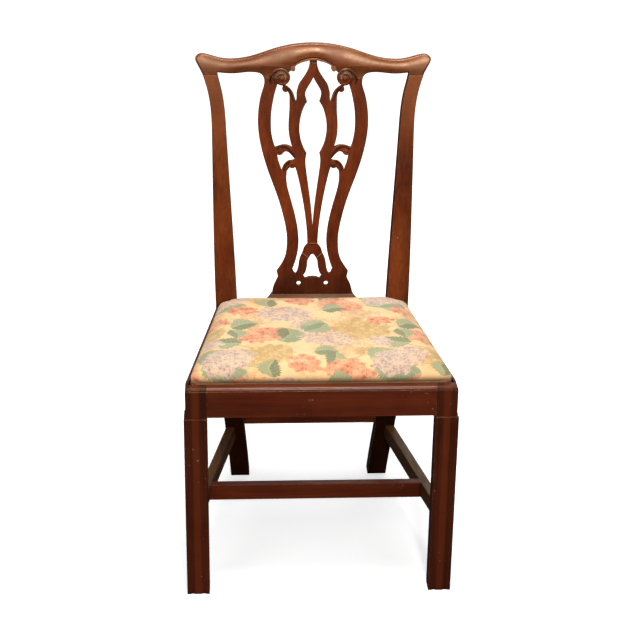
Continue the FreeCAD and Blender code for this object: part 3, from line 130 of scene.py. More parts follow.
def stain(tree, colour, mask, ink, strength=None, blend="MIX"):
    # lays an ink over a colour where the mask is, at a strength
    mask = mask if strength is None else times(tree, mask, strength)
    return mixColour(tree, mask, colour, ink, blend)


def spread(tree, value, low, high, toLow=0.0, toHigh=1.0, smooth=True):
    # moves a value from one range to another and stops it at the ends
    kind = "SMOOTHSTEP" if smooth else "LINEAR"
    feeds = {"Value": value, "From Min": low, "From Max": high, "To Min": toLow, "To Max": toHigh}
    return addNode(tree, "MapRange", feeds, interpolation_type=kind).outputs["Result"]


def noise(tree, vector, scale, detail=3.0, roughness=0.55, out="Fac"):
    feeds = {"Vector": vector, "Scale": scale, "Detail": detail, "Roughness": roughness}
    return addNode(tree, "TexNoise", feeds).outputs[out]


def patches(tree, vector, low=0.3, high=0.7, least=0.0, share=1.0, **kind):
    # soft patches of noise, which grow from the least to the full share between two of its levels
    return spread(tree, noise(tree, vector, **kind), low, high, least, share)


def shake(tree, vector, reach, **kind):
    # small moves to every side, from the noise's colour about its middle
    colour = noise(tree, vector, out="Color", **kind)
    return scaled(tree, calcVector(tree, "SUBTRACT", colour, (0.5, 0.5, 0.5)), reach)


def newGroup(name, **inputs):
    # its inputs are numbers with a default, or vectors where that is None
    group = bpy.data.node_groups.new(name, "ShaderNodeTree")
    for label, value in inputs.items():
        kind = "NodeSocketVector" if value is None else "NodeSocketFloat"
        socket = group.interface.new_socket(label, in_out="INPUT", socket_type=kind)
        if value is not None:
            socket.default_value = value
    return group, group.nodes.new("NodeGroupInput").outputs


def finishGroup(group, **results):
    for label, socket in results.items():
        kind = "NodeSocketVector" if socket.type == "VECTOR" else "NodeSocketFloat"
        group.interface.new_socket(label, in_out="OUTPUT", socket_type=kind)
    end = group.nodes.new("NodeGroupOutput")
    for label, socket in results.items():
        group.links.new(socket, end.inputs[label])
    return group


def useGroup(tree, group, **feeds):
    return addNode(tree, "Group", feeds, node_tree=group).outputs


def newMaterial(name):
    material = bpy.data.materials.new(name)
    material.use_nodes = True
    tree = material.node_tree
    return material, tree, tree.nodes["Principled BSDF"]


def addBump(tree, shader, height, strength, distance, **normal):
    feeds = {"Height": height, "Strength": strength, "Distance": distance, **normal}
    tree.links.new(addNode(tree, "Bump", feeds).outputs["Normal"], shader.inputs["Normal"])


def paint(material, *names):
    for name in names:
        mesh = nodes[name].data
        mesh.materials.clear()
        mesh.materials.append(material)


def newPiece(name, points, faces, material, body=None):
    # a mesh object at the origin, with its place in its mesh, that rides on a CAD body
    mesh = bpy.data.meshes.new(name)
    mesh.from_pydata(points.tolist(), [], faces if isinstance(faces, list) else faces.tolist())
    mesh.materials.append(material)
    mesh.polygons.foreach_set("use_smooth", [body is not None] * len(mesh.polygons))
    mesh.update()
    piece = bpy.data.objects.new(name, mesh)
    bpy.context.scene.collection.objects.link(piece)
    if body:
        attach(piece, body)
    return piece


def gridFaces(rows, columns, closed=False):
    # quads between neighbouring rows and columns; closed joins the last column to the first
    row, column = np.meshgrid(np.arange(rows - 1), np.arange(columns if closed else columns - 1),
                              indexing="ij")
    right = (column + 1) % columns
    corners = [row * columns + column, row * columns + right,
               (row + 1) * columns + right, (row + 1) * columns + column]
    return np.stack([corner.ravel() for corner in corners], axis=1)


# shader groups that several finishes share

def makeGrainGroup():
    # grain runs along the vector's Z: broad figure, fine streaks and short open pores
    group, given = newGroup("woodGrain", Vector=None, FigureScale=24.0, StreakScale=210.0,
                            PoreScale=1300.0, Waviness=0.012)
    slow = calcVector(group, "MULTIPLY", given["Vector"], (7.0, 7.0, 3.0))
    wander = shake(group, slow, given["Waviness"], scale=1.0, detail=2.0)
    bent = calcVector(group, "ADD", given["Vector"], wander)
    long = calcVector(group, "MULTIPLY", bent, (1.0, 1.0, 0.045))
    longer = calcVector(group, "MULTIPLY", bent, (1.0, 1.0, 0.028))
    return finishGroup(
        group, Figure=patches(group, long, scale=given["FigureScale"], roughness=0.6),
        Streak=patches(group, longer, scale=given["StreakScale"], detail=4.0, roughness=0.65),
        Pores=patches(group, longer, 0.57, 0.68, scale=given["PoreScale"], detail=2.0, roughness=0.5))


def makeEdgeGroup():
    # rounded normal at the arrises, and a mask of where hands and dusters have thinned the polish
    group, given = newGroup("edgeWear", Vector=None, Radius=0.0015, Patchiness=60.0)
    soft = addNode(group, "Bevel", {"Radius": given["Radius"]}, samples=6).outputs["Normal"]
    facing = calcVector(group, "DOT_PRODUCT", soft, addNode(group, "NewGeometry").outputs["Normal"])
    turned = spread(group, minus(group, 1.0, facing), 0.02, 0.22)
    thin = patches(group, given["Vector"], 0.42, 0.62, scale=given["Patchiness"], detail=4.0, roughness=0.7)
    return finishGroup(group, Normal=soft, Wear=times(group, turned, thin))


def makeGrimeGroup():
    # dark wax and dust that stay in corners and in the carving, together with painted shade there
    group, given = newGroup("recessGrime", Vector=None, Reach=0.012)
    light = addNode(group, "AmbientOcclusion", {"Distance": given["Reach"]}, samples=8).outputs["AO"]
    closed = spread(group, minus(group, 1.0, light), 0.14, 0.6)
    uneven = patches(group, given["Vector"], 0.2, 0.6, least=0.6, scale=90.0)
    return finishGroup(group, Grime=times(group, closed, uneven))


def makeWeaveGroup():
    # plain weave: two sets of threads that pass over and under, from the product of two waves
    group, given = newGroup("plainWeave", Vector=None, Thread=0.0006, Slub=0.3)
    turns = calc(group, "DIVIDE", math.pi, given["Thread"])
    uneven = shake(group, given["Vector"], times(group, given["Thread"], given["Slub"]),
                   scale=240.0, roughness=0.6)
    axes = axesOf(group, scaled(group, calcVector(group, "ADD", given["Vector"], uneven), turns))
    across, deep = calc(group, "SINE", axes["X"]), calc(group, "SINE", axes["Y"])
    over = spread(group, times(group, across, deep), -0.2, 0.2)
    warp = times(group, over, calc(group, "ABSOLUTE", across))
    weft = times(group, minus(group, 1.0, over), calc(group, "ABSOLUTE", deep))
    height = calc(group, "ADD", warp, weft)
    return finishGroup(group, Height=height, Shade=spread(group, height, 0.0, 1.0, 0.75, 1.0))


backLean = math.radians(7.2)
backFoot = (0.0, 0.1504, 0.445)               # where the leaning back stands on the rails, in metres

# strokes of the carver's gouge on the back, where shade and highlight are painted: runs of points, each
# the distance from the middle line and the height up the lean, in millimetres; both halves of the back carry
# them
scrollCentre = (63.5, 476.6)
scrollTurns = [(-20, 18.6), (10, 17.0), (40, 15.4), (70, 14.0), (105, 12.6), (145, 11.2), (185, 10.3),
               (225, 9.7), (265, 9.2), (305, 8.7), (345, 7.9), (390, 7.0), (440, 6.1)]
tailTurns = [(480, 7.8), (525, 7.1), (570, 6.5)]


def windings(turns):
    # points round the large scroll, each from its angle in degrees and its radius
    angle, radius = np.radians([turn[0] for turn in turns]), np.array([turn[1] for turn in turns])
    return (np.column_stack([np.cos(angle), np.sin(angle)]) * radius[:, None] + scrollCentre).tolist()


gouge = {
    "grooves": [windings(scrollTurns), [(19.0, 107.4), (9.8, 99.9)], [(0.0, 129.6), (6.8, 129.6)],
                [(0.0, 509.0), (8.0, 509.0)], [(38.4, 505.4), (25.8, 512.6), (8.3, 517.3), (0.0, 517.9)]],
    "hollows": [[(86.0, 464.5), (88.4, 472.5), (84.6, 480.0)],
                [(73.6, 330.9), (69.1, 334.6), (59.7, 335.2), (50.4, 330.6), (43.1, 322.2), (38.9, 315.0)],
                [(59.4, 286.5), (58.0, 294.2), (54.0, 300.6), (49.4, 303.2)],
                [(55.6, 455.8), (50.2, 451.6), (46.0, 445.0), (42.8, 436.9), (39.8, 430.1)]],
    "ridges": [windings(tailTurns), [(0.0, 132.0), (6.5, 132.0)], [(9.6, 102.1), (19.6, 110.4)],
               [(0.0, 506.8), (7.4, 506.8)]],
    "fade": {"grooves": (0.3, 1.5), "hollows": (0.8, 3.2), "ridges": (0.2, 1.1)},   # from solid to nothing
    "front": (0.011, 0.013),              # depth behind which the back carries no painted shade or highlight, in metres
}


def makeStrokeGroup():
    # distance to the leg from one point to another: the place along the leg is the dot product of
    # the way from its start with its direction, kept between 0 and 1
    group, given = newGroup("stroke", Vector=None, From=None, To=None)
    way = calcVector(group, "SUBTRACT", given["Vector"], given["From"])
    leg = calcVector(group, "SUBTRACT", given["To"], given["From"])
    along = calc(group, "DIVIDE", calcVector(group, "DOT_PRODUCT", way, leg),
                 calcVector(group, "DOT_PRODUCT", leg, leg), clamp=True)
    return finishGroup(group, Distance=calcVector(group, "DISTANCE", way, scaled(group, leg, along)))


def makeCarvingShadeGroup():
    # masks for painted shade in the grooves and hollows of the carving, and for a painted highlight on its
    # ridges, on the face of the back
    group, given = newGroup("carvingShadeAndHighlight", Vector=None)
    local = calcVector(group, "SUBTRACT", given["Vector"], backFoot)
    up = calcVector(group, "DOT_PRODUCT", local, (0.0, math.sin(backLean), math.cos(backLean)))
    depth = calcVector(group, "DOT_PRODUCT", local, (0.0, math.cos(backLean), -math.sin(backLean)))
    side = calc(group, "ABSOLUTE", axesOf(group, local)["X"])
    place = scaled(group, addNode(group, "CombineXYZ", {"X": side, "Y": up}).outputs[0], 1000.0)

    def mark(kind):
        nearest = None
        for run in gouge[kind]:
            for start, stop in zip(run, run[1:]):
                away = useGroup(group, strokeGroup, Vector=place, From=(*start, 0.0),
                                To=(*stop, 0.0))["Distance"]
                nearest = away if nearest is None else calc(group, "MINIMUM", nearest, away)
        return spread(group, nearest, *gouge["fade"][kind], 1.0, 0.0)

    grooves, hollows, ridges = mark("grooves"), mark("hollows"), mark("ridges")
    front = spread(group, depth, *gouge["front"], 1.0, 0.0)
    return finishGroup(group, Hollow=times(group, calc(group, "MAXIMUM", grooves, hollows), front),
                       Ridge=times(group, ridges, front))


strokeGroup = makeStrokeGroup()
carvingShadeGroup = makeCarvingShadeGroup()
grainGroup = makeGrainGroup()
edgeGroup = makeEdgeGroup()
grimeAndShadeGroup = makeGrimeGroup()
weaveGroup = makeWeaveGroup()
print("shader groups made")


# mahogany

upright = (0.0, 0.0, 0.0)                     # grain up the piece
across = (0.0, math.pi / 2, 0.0)              # grain from side to side
deep = (math.pi / 2, 0.0, 0.0)                # grain from front to back
leaning = (-backLean, 0.0, 0.0)

polish = {
    "figure": 0.62,                           # share of the broad figure in the tone of the grain
    "aged": (188, 120, 90),                   # the polish has aged in patches
    "agedPatches": dict(scale=9.0, detail=2.0, low=0.4, share=0.45),
    "topLightInk": (158, 100, 62),
    "topLightFrom": (0.72, 0.98),               # heights between which light is painted onto the top of the wood, in metres
    "legBeadHighlight": (124, 50, 18),                 # painted highlight down the bead in the middle of each front leg
    "beadShare": 0.42,
    "beadWidth": (0.003, 0.011),
    "pores": ((38, 14, 8), 0.24),             # inks with their strength
    # dark wax and dust in corners and carving, with painted shade there
    "grimeAndShade": ((24, 10, 6), 0.8),
    # painted shade in the grooves and hollows of the carving
    "hollow": ((30, 12, 5), 0.88),
    # painted highlight on the ridges of the carving
    "ridge": ((204, 148, 108), 0.38),
    "rubbed": (190, 130, 92),
    "knocked": (212, 176, 146),               # small knocks down to the pale wood, in a few places
    "knocks": dict(scale=170.0, detail=2.0, low=0.70, high=0.74),
    "knockPlaces": dict(scale=11.0, detail=1.0, low=0.56, high=0.62),
    "smears": dict(scale=26.0, detail=4.0, roughness=0.6),
    "smearReach": (-0.06, 0.08),              # how far smears move the roughness down and up
    "grimeRough": 0.2,
    "coatRough": 0.25,
    "reflection": (255, 212, 172),
    "streakRelief": 0.35,
    "relief": (0.07, 0.0002),                 # strength and depth of the open grain
}

# what a piece has where its own row doesn't say otherwise
plainWood = dict(
    turn=across, rough=0.46, shine=0.3, coat=0.06, edge=0.0014, worn=0.6, paintedShade=1.0, shadeFall=(0.0, 0.1),
    knocked=0.4, topLight=0.0, shadedCarving=False)

mahogany = {
    # turn of the grain, its dark and light ink, roughness, specular level, coat, radius and strength
    # of the worn edges, painted shade between the two heights of its fall, painted light on its top,
    # how much it is knocked, and whether its carving gets painted shade and highlight
    # its inks are raised and its lower part gets painted shade, as a painted highlight across the middle
    "crestRail": dict(
        pieces=["crest_rail"], dark=(84, 40, 17), light=(144, 78, 40), rough=0.31, shine=0.7,
        edge=0.0016, worn=0.5, paintedShade=0.80, shadeFall=(0.93, 0.972), knocked=0.1, shadedCarving=True),
    "splat": dict(
        pieces=["splat"], turn=leaning, dark=(70, 22, 5), light=(124, 50, 15), rough=0.42, shine=0.18,
        coat=0.02, edge=0.0026, worn=0.5, paintedShade=0.36, shadeFall=(0.44, 0.58), knocked=0.0, shadedCarving=True),
    # painted lighter than the splat, as the highlight on the raised beads
    "splatBeadsLit": dict(
        pieces=[], turn=leaning, dark=(104, 56, 30), light=(156, 96, 58), rough=0.40, shine=0.4,
        coat=0.05, edge=0.0006, worn=0.3, knocked=0.0),
    "backPosts": dict(
        pieces=["left_back_post", "right_back_post"], turn=leaning, dark=(72, 26, 7),
        light=(128, 58, 20), rough=0.42, shine=0.2, coat=0.03, edge=0.0030, worn=0.5, paintedShade=0.15,
        shadeFall=(0.36, 0.45), knocked=0.6, topLight=0.34),
    "frontLegs": dict(
        pieces=["left_front_leg", "right_front_leg"], turn=upright, dark=(42, 14, 7),
        light=(90, 34, 14), shine=0.35, edge=0.0016, knocked=0.6),
    "frontRail": dict(
        pieces=["front_seat_rail"], dark=(68, 21, 5), light=(118, 43, 12), rough=0.38, shine=0.4,
        coat=0.5, worn=0.75),
    # the rails' ink painted darker, as the shade at the back of the seat
    "backRailShaded": dict(
        pieces=["back_seat_rail"], dark=(22, 8, 4), light=(42, 16, 7), rough=0.42, worn=0.5, knocked=0.2),
    "sideRails": dict(
        pieces=["left_seat_rail", "right_seat_rail"], turn=deep, dark=(60, 20, 8), light=(110, 43, 18),
        rough=0.38, shine=0.4, coat=0.5, worn=0.75, knocked=0.5),
    # painted pale and greyish, as the reflection on the top of the shoe
    "shoe": dict(
        pieces=["shoe"], dark=(100, 72, 54), light=(160, 122, 98), rough=0.36, shine=0.7, coat=0.30,
        edge=0.0012, worn=0.5, knocked=0.0),
    "crossBars": dict(
        pieces=["cross_stretcher", "back_stretcher"], dark=(66, 24, 10), light=(124, 50, 24), paintedShade=0.8),
    "sideBars": dict(
        pieces=["left_side_stretcher", "right_side_stretcher"], turn=deep, dark=(70, 46, 22),
        light=(126, 86, 48), paintedShade=0.9),
}

legLow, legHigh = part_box("right_front_leg")
legMiddle = (legLow[0] + legHigh[0]) / 2


def makeMahogany(name, look):
    material, tree, shader = newMaterial(name)
    where = objectPlace(tree)
    turned = addNode(tree, "Mapping", {"Vector": where, "Rotation": look["turn"]}).outputs["Vector"]
    grain = useGroup(tree, grainGroup, Vector=turned)
    edge = useGroup(tree, edgeGroup, Vector=where, Radius=look["edge"])
    grimeAndShade = useGroup(tree, grimeAndShadeGroup, Vector=where)["Grime"]
    tone = calc(tree, "ADD", times(tree, grain["Figure"], polish["figure"]),
                times(tree, grain["Streak"], 1 - polish["figure"]))
    colour = mixColour(tree, tone, look["dark"], look["light"])
    aged = patches(tree, where, **polish["agedPatches"])
    colour = stain(tree, colour, aged, polish["aged"], blend="MULTIPLY")
    # painted shade: the piece is darker between the two heights of its fall, and painted light makes it
    # paler high up
    height = axesOf(tree, where)["Z"]
    colour = scaled(tree, colour, spread(tree, height, *look["shadeFall"], look["paintedShade"], 1.0))
    high = spread(tree, height, *polish["topLightFrom"], 0.0, look["topLight"])
    colour = stain(tree, colour, high, polish["topLightInk"])
    if name == "frontLegs":
        # painted highlight: the bead down the middle of each front leg is lighter and redder than the
        # hollows beside it
        side = calc(tree, "ABSOLUTE", axesOf(tree, where)["X"])
        off = calc(tree, "ABSOLUTE", minus(tree, side, legMiddle))
        bead = spread(tree, off, *polish["beadWidth"], polish["beadShare"], 0.0)
        colour = stain(tree, colour, bead, polish["legBeadHighlight"])
    colour = stain(tree, colour, grain["Pores"], *polish["pores"])
    colour = stain(tree, colour, edge["Wear"], polish["rubbed"], look["worn"])
    knocks = times(tree, patches(tree, where, **polish["knocks"]),
                   patches(tree, where, **polish["knockPlaces"]))
    colour = stain(tree, colour, knocks, polish["knocked"], look["knocked"])
    # dark wax and dust, with painted shade, in the corners and the carving
    colour = stain(tree, colour, grimeAndShade, *polish["grimeAndShade"])
    # painted shade in the carving's hollows and a painted highlight on its ridges
    if look["shadedCarving"]:
        marks = useGroup(tree, carvingShadeGroup, Vector=where)
        colour = stain(tree, colour, marks["Hollow"], *polish["hollow"])
        colour = stain(tree, colour, marks["Ridge"], *polish["ridge"])
    smooth, dull = (look["rough"] + move for move in polish["smearReach"])
    smears = patches(tree, where, least=smooth, share=dull, **polish["smears"])
    feed(tree, shader, {
        "Base Color": colour,
        "Roughness": calc(tree, "ADD", smears, times(tree, grimeAndShade, polish["grimeRough"])),
        "Coat Weight": look["coat"], "Coat Roughness": polish["coatRough"],
        "Specular IOR Level": look["shine"], "Specular Tint": tint(*polish["reflection"])})
    relief = minus(tree, times(tree, grain["Streak"], polish["streakRelief"]), grain["Pores"])
    addBump(tree, shader, relief, *polish["relief"], Normal=edge["Normal"])
    return material


woods = {}
for name, look in mahogany.items():
    woods[name] = makeMahogany(name, {**plainWood, **look})
    paint(woods[name], *look["pieces"])
print("mahogany on", len(woods), "groups of pieces")


# raised beads of the carving: along the arch under the crest rail, and on the scrolls and horns

beadLook = {
    # distance from the middle line and height up the lean, in millimetres
    "arch": dict(path=[(41.2, 495.4), (39.0, 498.6), (36.6, 503.2), (24.5, 509.6), (7.8, 514.2),
                       (0.0, 514.8)], depth=3.0, radius=2.2, taper=0.55),
    "upperScroll": dict(path=[(76.4, 331.4), (73.6, 336.2), (68.2, 338.8), (60.0, 339.6), (52.0, 338.0),
                              (45.6, 333.6)], depth=5.6, radius=1.3, taper=0.5),
    "lowerScroll": dict(path=[(63.6, 290.4), (59.4, 299.4), (52.8, 306.0), (46.0, 308.4), (40.6, 306.4)],
                        depth=5.6, radius=1.2, taper=0.5),
    "horn": dict(path=[(56.6, 460.6), (50.8, 457.6), (44.8, 451.6), (41.2, 443.2), (39.6, 433.0)],
                 depth=5.6, radius=1.2, taper=0.4),
    "sides": 14,
    "rings": 60,
    "capRings": 6,
    "cornerCuts": 4,
}


def makeTube(path, look, rings):
    # tube along a path on the face of the back: the path is smoothed by cutting its corners at a
    # quarter and three quarters of each leg, a few times over; each ring is a circle across the
    # path, thinner towards the tapered ends by a sine, and the last rings close as quarter circles
    path = np.array(path)
    for _ in range(beadLook["cornerCuts"]):
        legs = np.diff(path, axis=0)
        inner = np.stack([path[:-1] + legs * 0.25, path[:-1] + legs * 0.75], axis=1).reshape(-1, 2)
        path = np.concatenate([path[:1], inner, path[-1:]])
    run = np.concatenate([[0.0], np.cumsum(np.linalg.norm(np.diff(path, axis=0), axis=1))])
    turn = np.linspace(0.1, math.pi / 2, beadLook["capRings"])
    cap = (1 - np.cos(turn)) * look["radius"] * look["taper"]
    body = np.linspace(cap[-1], run[-1] - cap[-1], rings)[1:-1]
    place = np.concatenate([cap, body, (run[-1] - cap)[::-1]])
    rounded = np.concatenate([np.sin(turn), np.ones(len(body)), np.sin(turn)[::-1]])
    width = look["taper"] + (1 - look["taper"]) * np.sin(place / run[-1] * math.pi) ** 0.5
    radius = look["radius"] * width * rounded
    middle = np.column_stack([np.interp(place, run, path[:, 0]), np.interp(place, run, path[:, 1])])
    ahead = np.gradient(middle, place, axis=0)
    ahead /= np.linalg.norm(ahead, axis=1)[:, None]
    sides = beadLook["sides"]
    angle = np.linspace(0, 2 * math.pi, sides, endpoint=False)
    out = radius[:, None] * np.cos(angle)
    side = middle[:, :1] - ahead[:, 1:] * out
    up = middle[:, 1:] + ahead[:, :1] * out
    depth = look["depth"] + radius[:, None] * np.sin(angle)
    slant, stand = math.sin(backLean), math.cos(backLean)
    points = np.stack([side, depth * stand + up * slant, up * stand - depth * slant], axis=2) / 1000
    rows = len(place)
    faces = gridFaces(rows, sides, closed=True)[:, ::-1].tolist()
    faces.append(list(range(sides)))
    faces.append([(rows - 1) * sides + corner for corner in reversed(range(sides))])
    return points.reshape(-1, 3) + backFoot, faces


def makeBeads():
    # the beads take the wood painted lighter, as their highlight
    wood, rings = woods["splatBeadsLit"], beadLook["rings"]
    half = np.array(beadLook["arch"]["path"])
    whole = np.concatenate([half, half[-2::-1] * (-1, 1)])
    newPiece("arch_bead", *makeTube(whole, beadLook["arch"], 2 * rings), wood, "frame")
    for name in ("upperScroll", "lowerScroll", "horn"):
        look = beadLook[name]
        for hand, sign in (("left", -1), ("right", 1)):
            tube = makeTube(np.array(look["path"]) * (sign, 1), look, rings)
            newPiece(f"{hand}_{name}_bead", *tube, wood, "frame")


makeBeads()
print("beads of the carving made")


# beech of the hidden frame and blocks, and the small metal

beechLook = {
    "pores": ((96, 66, 40), 0.35),
    # dust in the corners, with painted shade there
    "grimeAndShade": ((70, 50, 34), 0.6),
    "rough": (0.62, 0.8),
    "relief": (0.3, 0.0003),
}

beechPieces = {
    "beechAcross": dict(
        pieces=["seat_frame_front", "seat_frame_back", "front_left_corner_block",
                "front_right_corner_block", "back_left_corner_block", "back_right_corner_block"],
        turn=across, dark=(168, 128, 86), light=(206, 170, 122)),
    "beechDeep": dict(pieces=["seat_frame_left", "seat_frame_right"],
                      turn=deep, dark=(162, 124, 84), light=(200, 164, 118)),
}

metalLook = {
    "rubbed": (190, 186, 178),
    "spots": dict(scale=700.0, low=0.5, high=0.65),
    "spotShare": 0.6,
    "spotRough": 0.3,
    "metallic": (0.9, 0.5),                   # where it is clean, and how much a spot takes away
}

metalPieces = {
    "agedSteel": dict(pieces=["corner_block_screws"], steel=(120, 116, 108), rust=(96, 62, 40), rough=0.35),
    "bluedSteel": dict(pieces=["seat_tacks"], steel=(52, 54, 62), rust=(70, 50, 40), rough=0.4),
}


def makeBeech(name, look):
    material, tree, shader = newMaterial(name)
    where = objectPlace(tree)
    turned = addNode(tree, "Mapping", {"Vector": where, "Rotation": look["turn"]}).outputs["Vector"]
    grain = useGroup(tree, grainGroup, Vector=turned, FigureScale=40.0, StreakScale=320.0)
    edge = useGroup(tree, edgeGroup, Vector=where, Radius=0.001)
    grimeAndShade = useGroup(tree, grimeAndShadeGroup, Vector=where, Reach=0.02)["Grime"]
    colour = mixColour(tree, grain["Figure"], look["dark"], look["light"])
    colour = stain(tree, colour, grain["Pores"], *beechLook["pores"])
    # dust and painted shade in the corners
    colour = stain(tree, colour, grimeAndShade, *beechLook["grimeAndShade"])
    rough = spread(tree, grain["Streak"], 0.0, 1.0, *beechLook["rough"])
    feed(tree, shader, {"Base Color": colour, "Roughness": rough})
    addBump(tree, shader, grain["Streak"], *beechLook["relief"], Normal=edge["Normal"])
    return material


def makeMetal(name, look):
    material, tree, shader = newMaterial(name)
    where = objectPlace(tree)
    edge = useGroup(tree, edgeGroup, Vector=where, Radius=0.0003, Patchiness=900.0)
    spots = patches(tree, where, **metalLook["spots"])
    colour = mixColour(tree, times(tree, spots, metalLook["spotShare"]), look["steel"], look["rust"])
    clean, taken = metalLook["metallic"]
    feed(tree, shader, {
        "Base Color": stain(tree, colour, edge["Wear"], metalLook["rubbed"]),
        "Metallic": minus(tree, clean, times(tree, spots, taken)),
        "Roughness": spread(tree, spots, 0.0, 1.0, look["rough"], look["rough"] + metalLook["spotRough"]),
        "Normal": edge["Normal"]})
    return material


for name, look in beechPieces.items():
    paint(makeBeech(name, look), *look["pieces"])
for name, look in metalPieces.items():
    paint(makeMetal(name, look), *look["pieces"])
print("hidden wood and metal painted")


# printed cotton of the seat: a generic print of blossoms, lilac sprays and leaves

printLook = {
    "tile": (0.330, 0.300),                       # repeat of the print, in metres
    "thread": 0.0005,
    "hand": dict(reach=0.010, scale=55.0, roughness=0.6),         # wobble of a hand-drawn edge
    "ground": (255, 214, 158),
    "groundWarm": (246, 194, 138),
    "groundCool": (228, 204, 148),
    "warmWashes": dict(scale=22.0, low=0.45, high=0.75, share=0.7),
    "coolWashes": dict(scale=15.0, detail=2.0, out="Color", low=0.5, share=0.45),
    "outline": (214, 160, 104),                   # faint outlines of petals over the whole ground
    "outlinePitch": 0.0125,
    "outlinePatches": dict(scale=18.0, detail=2.0, low=0.42, high=0.6, share=0.42),
    "stem": ((196, 160, 92), 0.8),                # inks with their strength
    "stemDepth": 0.5,                             # of a stem, as a share of its length
    "stemWave": (2.6, 0.3),                       # turn of a stem's sine, and its height
    "stemWidth": (0.02, 0.045),
    "leafPale": (188, 192, 146),
    "leafDeep": (94, 110, 78),
    "leafBlue": (158, 180, 150),
    "leafRib": ((198, 196, 152), 0.65),
    "leafHalves": (0.45, 0.2),                    # how much paler one half is than the other
    "leafShare": 0.92,
    "florets": dict(scale=38.0, detail=2.0, low=0.35, high=0.65, share=0.4),
    "floretPick": 0.7,                            # how much the florets differ from one another
    "floretPale": 0.05,                           # taken off, so that some of them stay pale
    "eyeShare": 0.7,
    "gapShare": 0.5,                              # of the petal's ink in the gaps between the florets
    "clusterNoise": dict(scale=60.0, detail=2.0),                 # makes the edge of the ovals ragged
    "clusterRagged": 0.7,
    "clusterEdge": (1.25, 1.3),
    "speckle": (250, 236, 200),
    "speckles": dict(scale=420.0, detail=2.0, low=0.55, high=0.75, share=0.25),
    "yellowed": (250, 214, 164),                  # years of use have yellowed it
    "yellowPatches": dict(scale=6.0, low=0.4, high=0.8, share=0.35),
    "front": (238, 228, 216),                     # painted shade: the front is greyer between two places of the cloth
    "frontShadeFade": (-0.27, -0.17, 0.9, 0.0),
    "foot": (112, 74, 44),                        # painted shade at the foot of the sides, against the rails
    "footShadeFade": (0.4455, 0.4570, 0.85, 0.0),
    # dust in the creases, with painted shade there
    "grimeAndShade": ((120, 92, 60), 0.5),
    "weaveShade": 0.5,
    "rough": (0.86, 0.72),
    "relief": (0.25, 0.0002),
    # pitch of the florets, inks of petal, eye and gap, strength of the print, and ovals: centre
    # across and deep, half width, half depth, turn in degrees
    "bloom": dict(pitch=0.0170, pale=(255, 222, 172), dark=(206, 160, 104), eye=(206, 150, 92),
                  gap=(222, 170, 118), strength=0.85,
                  ovals=[(0.060, 0.150, 0.056, 0.042, 10), (0.090, 0.012, 0.054, 0.038, 30),
                         (0.200, 0.282, 0.050, 0.036, -10)]),
    "tan": dict(pitch=0.0088, pale=(240, 206, 142), dark=(202, 160, 98), eye=(150, 136, 78),
                gap=(176, 150, 88), strength=0.85,
                ovals=[(0.084, 0.238, 0.066, 0.048, 10), (0.230, 0.122, 0.060, 0.044, -20)]),
    "lilac": dict(pitch=0.0070, pale=(242, 212, 178), dark=(186, 154, 156), eye=(120, 92, 108),
                  gap=(238, 208, 168), strength=0.9,
                  ovals=[(0.150, 0.104, 0.062, 0.044, -30), (0.014, 0.200, 0.062, 0.042, 25),
                         (0.268, 0.018, 0.062, 0.040, 10), (0.120, 0.180, 0.030, 0.022, 60),
                         (0.306, 0.262, 0.034, 0.024, -20)]),
    "coral": dict(pitch=0.0105, pale=(246, 196, 150), dark=(212, 104, 78), eye=(176, 56, 46),
                  gap=(240, 170, 122), strength=0.92,
                  ovals=[(0.052, 0.066, 0.052, 0.036, 20), (0.222, 0.214, 0.058, 0.038, -15),
                         (0.300, 0.090, 0.034, 0.026, 40), (0.126, 0.284, 0.030, 0.022, 0),
                         (0.182, 0.036, 0.032, 0.024, 15)]),
    # foot of the leaf across and deep, length, width as a share, turn in degrees, blue share
    "leaves": [(0.098, 0.092, 0.070, 0.48, -35, 0.1), (0.106, 0.084, 0.056, 0.44, 48, 0.7),
               (0.180, 0.172, 0.062, 0.46, 205, 0.2), (0.262, 0.176, 0.070, 0.52, -62, 0.5),
               (0.190, 0.066, 0.062, 0.46, 165, 0.6), (0.030, 0.128, 0.054, 0.42, 110, 0.1),
               (0.160, 0.250, 0.060, 0.46, -20, 0.0), (0.296, 0.258, 0.062, 0.48, 20, 0.7),
               (0.160, 0.240, 0.048, 0.42, 75, 0.2), (0.236, 0.056, 0.046, 0.52, -80, 0.0),
               (0.020, 0.268, 0.064, 0.38, 140, 0.5), (0.318, 0.132, 0.050, 0.46, 5, 0.2),
               (0.270, 0.246, 0.056, 0.50, 100, 0.0), (0.014, 0.036, 0.052, 0.46, -10, 0.1)],
    # foot of the stem across and deep, length, turn in degrees
    "stems": [(0.060, 0.150, 0.120, 20), (0.180, 0.020, 0.110, 100), (0.250, 0.150, 0.100, -160),
              (0.120, 0.130, 0.090, 75), (0.010, 0.040, 0.100, -40)],
}


floretLook = {
    "scatter": 0.85,                              # how far the flowers stand off an even grid
    "spin": 6.28,                                 # most that a flower is turned
    "petals": 5.0,
    "petalWave": (0.13, 0.5),                     # swing and middle of the flower's radius, in cells
    "petalEdge": (-0.02, 0.1),
    "eyeEdge": (0.08, 0.16),
}

leafLook = {
    "bow": 0.18,                                  # how far the middle rib bends
    "swell": 0.72,                                # power that moves the widest place towards the foot
    "teeth": 55.0,                                # turn of the teeth along the leaf
    "sideRibs": 7.0,
    "ribSlant": 0.55,
    "sideRib": (0.36, 0.5),
    "sideRibShare": 0.6,
    "middleRib": (0.015, 0.05),
    "edge": (0.0, 0.03),
    "halves": (-0.02, 0.02),                      # where one half goes over into the other
}


